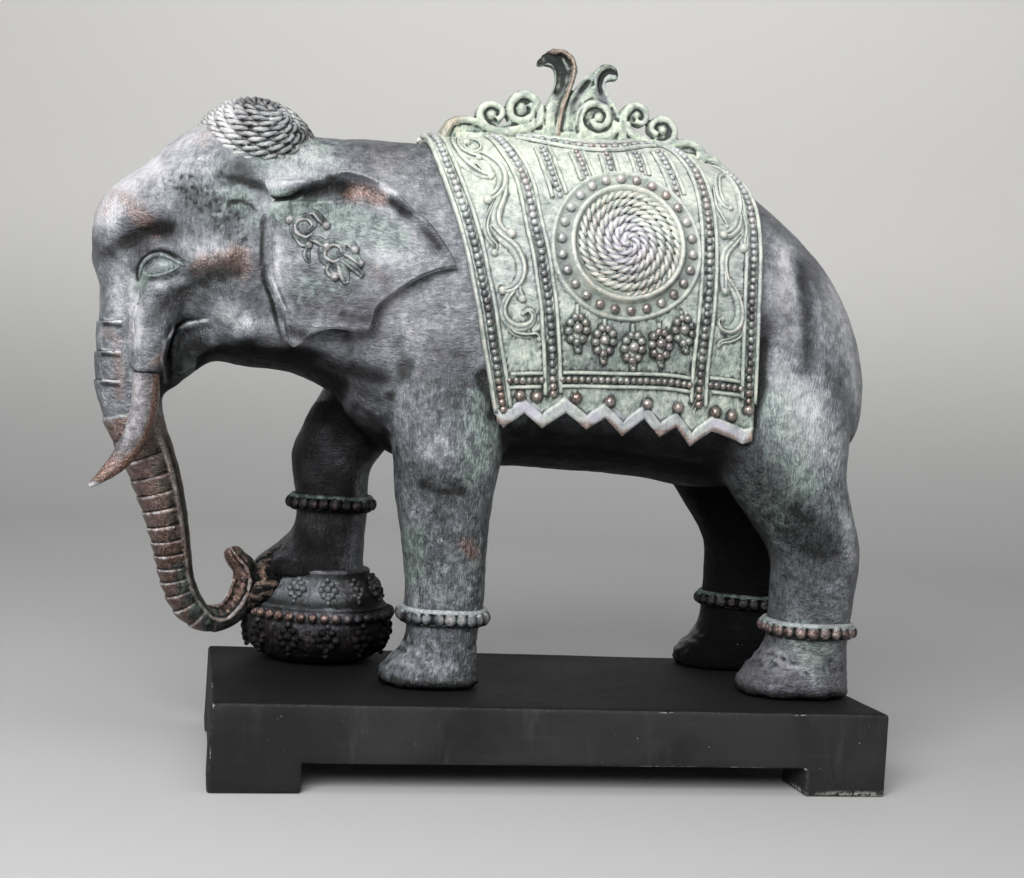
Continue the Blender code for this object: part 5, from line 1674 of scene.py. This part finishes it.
bm = bmesh.new()
angles, turns = np.linspace(0, pi * 0.62, 40), around(60)
sheet(bm, onCap(np.stack([np.sin(angles)[:, None] * np.cos(turns), np.sin(angles)[:, None] * np.sin(turns),
    np.cos(angles)[:, None] + 0 * turns], axis=-1), -4.0))
bmesh.ops.remove_doubles(bm, verts=bm.verts, dist=0.01)
bmesh.ops.contextual_create(bm, geom=openEdges(bm))
for side in (-1, 1):
    coilCap(bm, side)
cap = weldedMesh(bm)
here = places(cap)
x, y, z = here.T
cloudy = lumps(here, 13, 6)
roughen(cap, (3.2, 4, 0.45))
paint(cap, hollow=np.clip(hollows(cap, 3, 0.24), -1.5, 1.2),
      pale=0.2 + 0.8 * ease(x, -206, -234) + 0.5 * cloudy,
      dark=0.1 + 0.5 * ease(x, -226, -196) - 0.4 * cloudy,
      warm=0.4 * lumps(here, 16, 2) - 0.1,
      green=0.15 + 0.2 * ease(z, 400, 386))
addPiece(cap, "crown_cap")


# Crest along the ridge: leaves and volutes, seen from the side in x and z

crestForm = {"half": 7.3, "band": 3.0, "web": 4.2}
# outer edge of each rolled band from its foot to its eye, the eye's middle and radius, the web's radius
volutes = [
    ([(-17.5, 430), (-17, 437), (-19.5, 443.4), (-25, 448), (-31, 448), (-36.2, 443.8), (-38, 437.3), (-35.6, 432),
        (-29.6, 430.6), (-23.6, 433.6), (-22.2, 439), (-25, 442.6)], (-29.6, 438.6), 4.6, 9.4),
    ([(-16, 433), (-23, 427.6), (-31.7, 424.2), (-41.8, 421.8), (-50.8, 422.8), (-57, 427.6), (-58.2, 433.9),
        (-54.3, 438.7), (-48.7, 439.6), (-44, 437), (-43.4, 432.5), (-46.4, 429.4)], (-50.2, 432.4), 3.8, 8.0),
    ([(38, 436), (35.5, 430), (29.3, 425.6), (20.2, 425), (12.6, 430.2), (10.8, 437.5), (14.9, 444.9), (22.6, 447.6),
        (29.4, 444.5), (31.4, 438.4), (28.2, 433.3), (22.9, 432.8), (20, 436.6)], (24.4, 438.2), 4.0, 9.8),
    ([(42.3, 425), (41.2, 433), (42.2, 440.5), (45.2, 446.4), (50.9, 449.2), (56.8, 446.6), (58.1, 441.2),
        (55, 437.4), (50.6, 438.6)], (51.2, 442.8), 3.4, 6.6),
    ([(43.5, 436), (47.5, 430.6), (55.7, 426.6), (64.6, 424.2), (73.3, 424.8), (78.6, 429.2), (79.2, 435.8),
        (74.8, 440.9), (68.7, 441.8), (63.8, 439), (62.8, 434.1), (66.9, 430.6)], (70.4, 434.4), 3.6, 7.6),
    ([(-82, 410), (-81.6, 417), (-78, 423.6), (-72, 426.8), (-65, 427.2), (-57.3, 425.6), (-50, 421.6)], None, 0, 0),
    ([(73, 419), (77.4, 423.9), (85.2, 426.9), (93.3, 426.8), (99.7, 423.4), (102.4, 417.7), (98.9, 415)], None, 0,
        0),
    ([(96, 419), (106, 418.6), (114, 414), (121, 409), (127, 403)], None, 0, 0)]
# leaves: left edge x, z, then right edge x, z, from foot to tip
leaves = [
    ([(-18, 414, -1, 414), (-17.5, 423.3, -2, 424.9), (-16.7, 430.9, -1.1, 431.2), (-14.7, 439.8, 0.7, 442.7),
        (-10.1, 449.1, 3.9, 453.1), (-7.1, 458.2, 7.1, 463.5), (-7.3, 464.7, 8, 469.9), (-9, 468.4, 4.9, 477.1),
        (-12.4, 470.2, -1.9, 481.3), (-16, 470, -9.7, 482.2), (-19.6, 468.8, -17.1, 477), (-20.4, 469.6, -20.8, 472)],
        1),
    ([(0.2, 414, 9.2, 414), (0.6, 425.1, 9.2, 426), (1, 437.7, 9.4, 438.6), (3.6, 449.6, 11.6, 447.6),
        (7, 456.6, 15.8, 454.4), (11.1, 462.1, 19, 461.1), (15, 466.8, 19.9, 465.5), (17.9, 469.2, 19.6, 468.4)],
        0.8),
    ([(27, 414, 40, 414), (28, 425, 39.5, 429), (29.5, 436, 40, 438.1), (27.5, 446, 37.5, 445.4),
        (23.5, 452.5, 32.8, 452.5), (20.5, 458, 28.8, 457.7), (19.8, 463, 28.2, 461.6), (19.6, 468.6, 29.4, 463.9),
        (22.8, 473, 31.2, 464.4), (28.5, 476, 33.4, 464.9), (34, 474.1, 35.4, 465.2), (37.3, 470.3, 36.8, 466.6)],
        0.95)]
crestBase = [
    (-78, 400), (-73, 418), (-50, 420), (-20, 425), (20, 427), (50, 426), (78, 421), (98, 419), (113, 413),
    (126, 405), (133, 396), (120, 385)]
# the sunk ground between the leaves and bands
crestGround = [
    (-80, 402), (-79.5, 416), (-73, 423.6), (-62, 423.6), (-52, 421), (-44, 425), (-38, 430), (-22, 434), (-15, 436),
    (-1, 440), (9, 440), (14, 452), (20, 460), (25, 457.5), (30, 448), (37, 440), (42, 436), (46, 431), (56, 424.6),
    (70, 423), (84, 424.6), (96, 422.6), (100, 418), (112, 413.6), (125, 403.6), (120, 390)]
# cut into or raised from both faces afterwards: (x, z) line, half width, height
crestMarks = [
    ([(-6.4, 444), (-5, 454), (-3.8, 462), (-3.4, 467), (-7, 473), (-13, 475), (-20, 472.6), (-28, 470)], 4, -5.6),
    ([(-11, 479), (-3, 478.8), (3, 473.8), (4.3, 467), (3, 459), (0, 449), (-2.5, 440), (-3.6, 424)], 1.4, 1.7),
    ([(4.6, 436), (6, 444), (10, 453), (15, 461), (19, 467)], 2.6, -3.4),
    ([(31, 446), (27.5, 452), (24.6, 459), (25, 466), (29, 470.4), (33.6, 470.4), (40, 467)], 2.8, -4),
    ([(39.6, 426), (39.4, 436), (36.8, 445), (31.6, 453), (28.6, 459)], 1.3, 1),
    ([(-19, 426), (-19.4, 436), (-15.8, 446)], 1.4, -1.6), ([(-9.6, 424), (-10.4, 438), (-8.6, 448)], 3, 0.8),
    ([(-1, 424), (0.4, 436), (2.4, 446)], 1.3, -2), ([(9.8, 424), (10.4, 436), (13, 446)], 1.3, -2.2)]


def crestBand(bm, route):
    # a rolled strap standing across the ridge
    path = evenPath(route, 1.6)
    sections = []
    for i, (x, z) in enumerate(path):
        ahead, behind = path[min(i + 1, len(path) - 1)], path[max(i - 1, 0)]
        line = Vector((ahead[0] - behind[0], 0, ahead[1] - behind[1])).normalized()
        share = i / (len(path) - 1)
        thick = crestForm["band"] * (1.25 - 0.5 * share)
        sections.append((Vector((x, 0, z)), acrossAxis, acrossAxis.cross(line), crestForm["half"]
            * (1 - 0.12 * share), thick, 3.0, 0.0))
    loft(bm, sections, 20)


def crestLeaf(bm, rows, plump):
    # a leaf with raised rims and a hollow face on both sides
    path = evenPath(rows, 1.4)
    angles = around(36)
    c, s = np.cos(angles), np.sin(angles)
    rings = []
    for i, (leftX, leftZ, rightX, rightZ) in enumerate(path):
        middle = np.array([(leftX + rightX) / 2, 0, (leftZ + rightZ) / 2])
        half = np.array([(rightX - leftX) / 2, 0, (rightZ - leftZ) / 2])
        tip = min(1.0, (len(path) - i) / 5)
        depth = crestForm["half"] * plump * (0.72 + 0.28 * np.abs(c) ** 2.6) * tip ** 0.5
        rings.append(middle + np.outer(c, half) + np.outer(np.sign(s) * np.abs(s) ** 0.7 * depth, (0, 1, 0)))
    closedSheet(bm, np.array(rings), (np.mean(rings[0], axis=0), np.mean(rings[-1], axis=0)))


bm = bmesh.new()
for route, eye, eyeSize, web in volutes:
    crestBand(bm, route)
    if eye:
        place = Matrix.Translation((eye[0], 0, eye[1])) @ Matrix.Rotation(pi / 2, 4, "X")
        bmesh.ops.create_cone(bm, cap_ends=True, segments=28, radius1=web, radius2=web, depth=2 * crestForm["web"],
            matrix=place)
        bmesh.ops.create_uvsphere(bm, u_segments=20, v_segments=14, radius=1.0, matrix=place
            @ Matrix.Diagonal((eyeSize, eyeSize, crestForm["half"] * 0.95, 1)))
for rows, plump in leaves:
    crestLeaf(bm, rows, plump)
for y in (-1, 1):
    rim = evenPath([(-10, 479), (-3, 479.6), (3.4, 475), (4.6, 468), (3.4, 459), (0.4, 449), (-2.2, 440), (-3.4, 431),
        (-3.6, 424)], 1.5)
    tube(bm, np.stack([rim[:, 0], 0 * rim[:, 0] + y * crestForm["half"] * 0.72, rim[:, 1]], axis=1),
        (0, 1, 0), 1.5, 10)
for outline, half in ((crestBase, 5.5), (crestGround, crestForm["web"])):
    plate = bmesh.new()
    plate.faces.new([plate.verts.new((x, -half, z)) for x, z in outline])
    back = bmesh.ops.extrude_face_region(plate, geom=plate.faces[:])["geom"]
    bmesh.ops.translate(plate, vec=(0, 2 * half, 0), verts=[v for v in back if isinstance(v, bmesh.types.BMVert)])
    facingOut(plate)
    bm.from_mesh(meshFrom(plate))
crest = weldedMesh(bm)
crest = shapedBy(crest, (("REMESH", {"mode": "VOXEL", "voxel_size": 0.85}), ("SMOOTH",
    {"factor": 0.5, "iterations": 2})))
here, ways, x, y, z = surfaceOf(crest)
cuts = pressed(here[:, [0, 2]], crestMarks) * ease(np.abs(ways[:, 1]), 0.25, 0.6)
here[:, 1] += np.sign(y) * np.maximum(cuts, 0.8 - np.abs(y))
crust = ease(z, 466, 474) * ease(np.abs(cuts), 2.0, 0.8)
movePlaces(crest, here + ways * (lumps(here, 4.5, 2) * 0.3 + lumps(here, 2.4, 5) * (0.15 + 0.6 * crust))[:, None])
leafFace = np.clip(-cuts / 2.4, 0, 1)
paint(crest, hollow=np.clip(hollows(crest, 6, 0.4) + hollows(crest, 30, 2.4), -0.8, 0.9)
          * (1 - 0.85 * leafFace * ease(z, 474, 452)),
      pale=0.3 * ease(z, 475, 430) + 0.3 * lumps(here, 9, 6),
      mauve=1.1 * leafFace,
      dark=np.clip(-cuts / 3.0, 0, 1.1) * (0.1 + 0.55 * ease(z, 434, 468) + 0.35 * lumps(here, 5, 9))
          + 0.35 * (np.abs(y) < 5.0) * (z > 424) + 0.5 * crust,
      green=0.45 + 0.4 * lumps(here, 7, 3))
rimGap = toLine(here[:, [0, 2]], crestMarks[1][0])[0]
paint(crest, warm=1.0 * ease(rimGap, 2.2, 1.0) + 0.5 * (np.abs(y) < 7) * ease(z, 468, 480) + 0.5 * ease(x, -60, -76))
addPiece(crest, "crest", verdigris)
print("cap and crest done")


# Plinth: painted board with an apron and corner feet, worn along its edges

plinthForm = {
    "length": 430, "depth": 193, "height": 53.6, "foot": 55, "footDepth": 40, "apron": 18, "edge": 2.4, "cell": 9,
    "wave": 0.35, "chip": 1.5}


def formPlinth():
    form = plinthForm
    bm = bmesh.new()
    bmesh.ops.create_cube(bm, size=1.0)
    middleY = -plinthOffset / mm
    thick = form["height"] - form["apron"]
    bmesh.ops.transform(bm, verts=bm.verts, matrix=Matrix.Translation((0, middleY, form["apron"] + thick / 2))
        @ Matrix.Diagonal((form["length"], form["depth"], thick, 1)))
    innerX, innerY = form["length"] / 2 - form["foot"], form["depth"] / 2 - form["footDepth"]
    for sign in (-1, 1):
        for spot, way in (((sign * innerX, 0, 0), alongAxis), ((0, middleY + sign * innerY, 0), acrossAxis)):
            sliced(bm, spot, way)
    corners = [face for face in bm.faces if face.normal.z < -0.9 and abs(face.calc_center_median().x) > innerX
        and abs(face.calc_center_median().y - middleY) > innerY]
    feet = bmesh.ops.extrude_discrete_faces(bm, faces=corners)["faces"]
    bmesh.ops.translate(bm, vec=(0, 0, -form["apron"]), verts=list({v for face in feet for v in face.verts}))
    bmesh.ops.dissolve_limit(bm, angle_limit=radians(1), verts=bm.verts, edges=bm.edges)
    bmesh.ops.bevel(bm, geom=bm.edges[:], offset=form["edge"], segments=4, profile=0.5, affect="EDGES", material=-1)
    for axis, low, high in ((alongAxis, -form["length"] / 2, form["length"] / 2), (acrossAxis,
            middleY - form["depth"] / 2, middleY + form["depth"] / 2), (upAxis, 0, form["height"])):
        for at in np.arange(low + form["cell"], high - 2, form["cell"] * (1 if axis is not upAxis else 0.8)):
            sliced(bm, axis * at, axis)
    facingOut(bm)
    mesh = meshFrom(bm)
    here, ways = places(mesh), outward(mesh)
    slant = 1 - np.abs(ways).max(axis=1)
    onEdge = ease(slant, 0.02, 0.2)
    chips = ease(lumps(here, 7, 11), 0.3, 0.55) * onEdge
    worn = (here[:, 0] > 40) * ease(lumps(here, 22, 3), -0.5, 0.1) * np.maximum(0.6 * ease(here[:, 2], 4.0, 2.5),
        0.7 * onEdge * ease(np.abs(here[:, 2] - form["apron"]), 2.4, 1.2))
    here -= ways * (chips * form["chip"])[:, None]
    here += ways * (lumps(here, 40, 2) * form["wave"] * 0.6
        + lumps(here, 11, 6) * form["wave"] * 0.4 * onEdge)[:, None]
    here[:, 2] = np.clip(here[:, 2], 0, form["height"])
    movePlaces(mesh, here)
    # top marks the upward faces, which the finish paints darker as painted shade
    paint(mesh, chip=np.maximum(chips, worn), edge=onEdge, top=ease(ways[:, 2], 0.6, 0.95))
    return mesh


def lacquerFinish():
    # flat black paint: dust, faint scuffs, pale chips along the edges, and painted shade on the top face
    material, sums, spot, shader = surface("black_lacquer")
    chip, edge, top = map(sums.attribute, ("chip", "edge", "top"))
    broad = spot.noise(9, 4, 0.6, 0.4)
    fine = spot.noise(420, 5, 0.65)
    streak = spot.stretched((18, 18, 190)).noise(1.0, 5, 0.62)
    scuff = spot.stretched((60, 60, 12), (0.2, 0.5, 0.3)).noise(1.0, 6, 0.7)
    speck = spot.noise(620, 1, 0.5)
    colour = mixed((0.011, 0.011, 0.0115, 1), (0.024, 0.024, 0.0235, 1), broad.step(0.35, 0.68))
    colour = mixed(colour, (0.055, 0.055, 0.053, 1), (scuff.step(0.55, 0.78) * 0.5 + streak.step(0.55, 0.8) * 0.25))
    colour = mixed(colour, (0.06, 0.058, 0.054, 1), edge * fine.step(0.38, 0.66) * 0.75)
    colour = mixed(colour, (0.45, 0.43, 0.40, 1), (chip.step(0.35, 0.8) * fine.step(0.44, 0.56)))
    colour = mixed(colour, (0.4, 0.4, 0.38, 1), speck.step(0.81, 0.83) * 0.7)
    # painted shade: the top face near black
    colour = mixed(colour, (0.005, 0.005, 0.005, 1), top * 0.95)
    bump = sums.node("Bump", {}, {"Strength": 0.4, "Distance": 0.0008, "Height": fine * 0.5 + broad * 0.5
        + streak * 0.25})
    plug(shader, Base_Color=colour, Normal=bump, Roughness=(fine * 0.25 + broad * 0.3 + 0.42).clamped(),
        Specular_IOR_Level=0.14)
    return material


lacquer = lacquerFinish()
addPiece(formPlinth(), "base_plinth", lacquer, "plinth")


# Room, light and camera

roomForm = {"radius": 2.6, "height": 2.6, "bend": 0.9}
bm = bmesh.new()
rim = [(0, 0)] + [
    (roomForm["radius"] - roomForm["bend"] + roomForm["bend"] * sin(t), roomForm["bend"] - roomForm["bend"] * cos(t))
    for t in np.linspace(0, pi / 2, 16)] + [(roomForm["radius"], roomForm["height"])]
turned(bm, rim, 0, 0, 96)
facingOut(bm)
bmesh.ops.reverse_faces(bm, faces=bm.faces)
room = placed("room", meshFrom(bm, "room"))
room.data.shade_smooth()
paper, sums, spot, shader = surface("paper")
rise = spot.node("SeparateXYZ", {}, {"Vector": spot}, output=2).step(0.02, 0.7)
plug(shader, Roughness=0.9, Specular_IOR_Level=0.1, Base_Color=mixed(mixed((0.43, 0.435, 0.435, 1),
    (0.46, 0.465, 0.46, 1), spot.noise(1.3, 3, 0.5)), (0.78, 0.77, 0.75, 1), rise))
room.data.materials.append(paper)


def softbox(name, place, aim, size, power, colour=(1, 1, 1)):
    light = bpy.data.lights.new(name, "AREA")
    light.shape, light.size, light.size_y = "RECTANGLE", size[0], size[1]
    light.energy, light.color = power, colour
    lamp = placed(name, light)
    lamp.location = place
    lamp.rotation_euler = (Vector(aim) - Vector(place)).to_track_quat("-Z", "Y").to_euler()


softbox("front", (-0.62, -1.3, 0.95), (0, 0, 0.27), (1.1, 0.8), 40)
softbox("overhead", (-0.1, -0.35, 1.45), (0, 0, 0.2), (1.5, 0.8), 7)
softbox("backdrop", (0.3, 1.1, 1.9), (0.5, 2.6, 0.8), (1.6, 0.8), 14)
world = bpy.data.worlds.new("world")
world.use_nodes = True
world.node_tree.nodes["Background"].inputs["Color"].default_value = (0.9, 0.95, 1.0, 1)
world.node_tree.nodes["Background"].inputs["Strength"].default_value = 0.06
bpy.context.scene.world = world
bpy.context.scene.view_settings.view_transform = "Standard"

cameraForm = {"place": (-0.23406, -0.95239, 0.23591), "yaw": 12.384, "pitch": -1.228, "roll": 3.664, "lens": 50.98}
yaw, pitch, roll = (radians(cameraForm[name]) for name in ("yaw", "pitch", "roll"))
ahead = Vector((sin(yaw) * cos(pitch), cos(yaw) * cos(pitch), sin(pitch)))
level = Vector((cos(yaw), -sin(yaw), 0))
above = level.cross(ahead)
right = level * cos(roll) + above * sin(roll)
up = above * cos(roll) - level * sin(roll)
lens = bpy.data.cameras.new("camera")
lens.lens, lens.sensor_width, lens.clip_start = cameraForm["lens"], 36, 0.05
camera = placed("camera", lens)
camera.matrix_world = (
    Matrix.Translation(Vector(cameraForm["place"]) + Vector((plinthMiddle.x, plinthMiddle.y, 0)))
    @ Matrix((right, up, -ahead)).transposed().to_4x4())
bpy.context.scene.camera = camera
print("triangles in all:", pieceCount["triangles"])
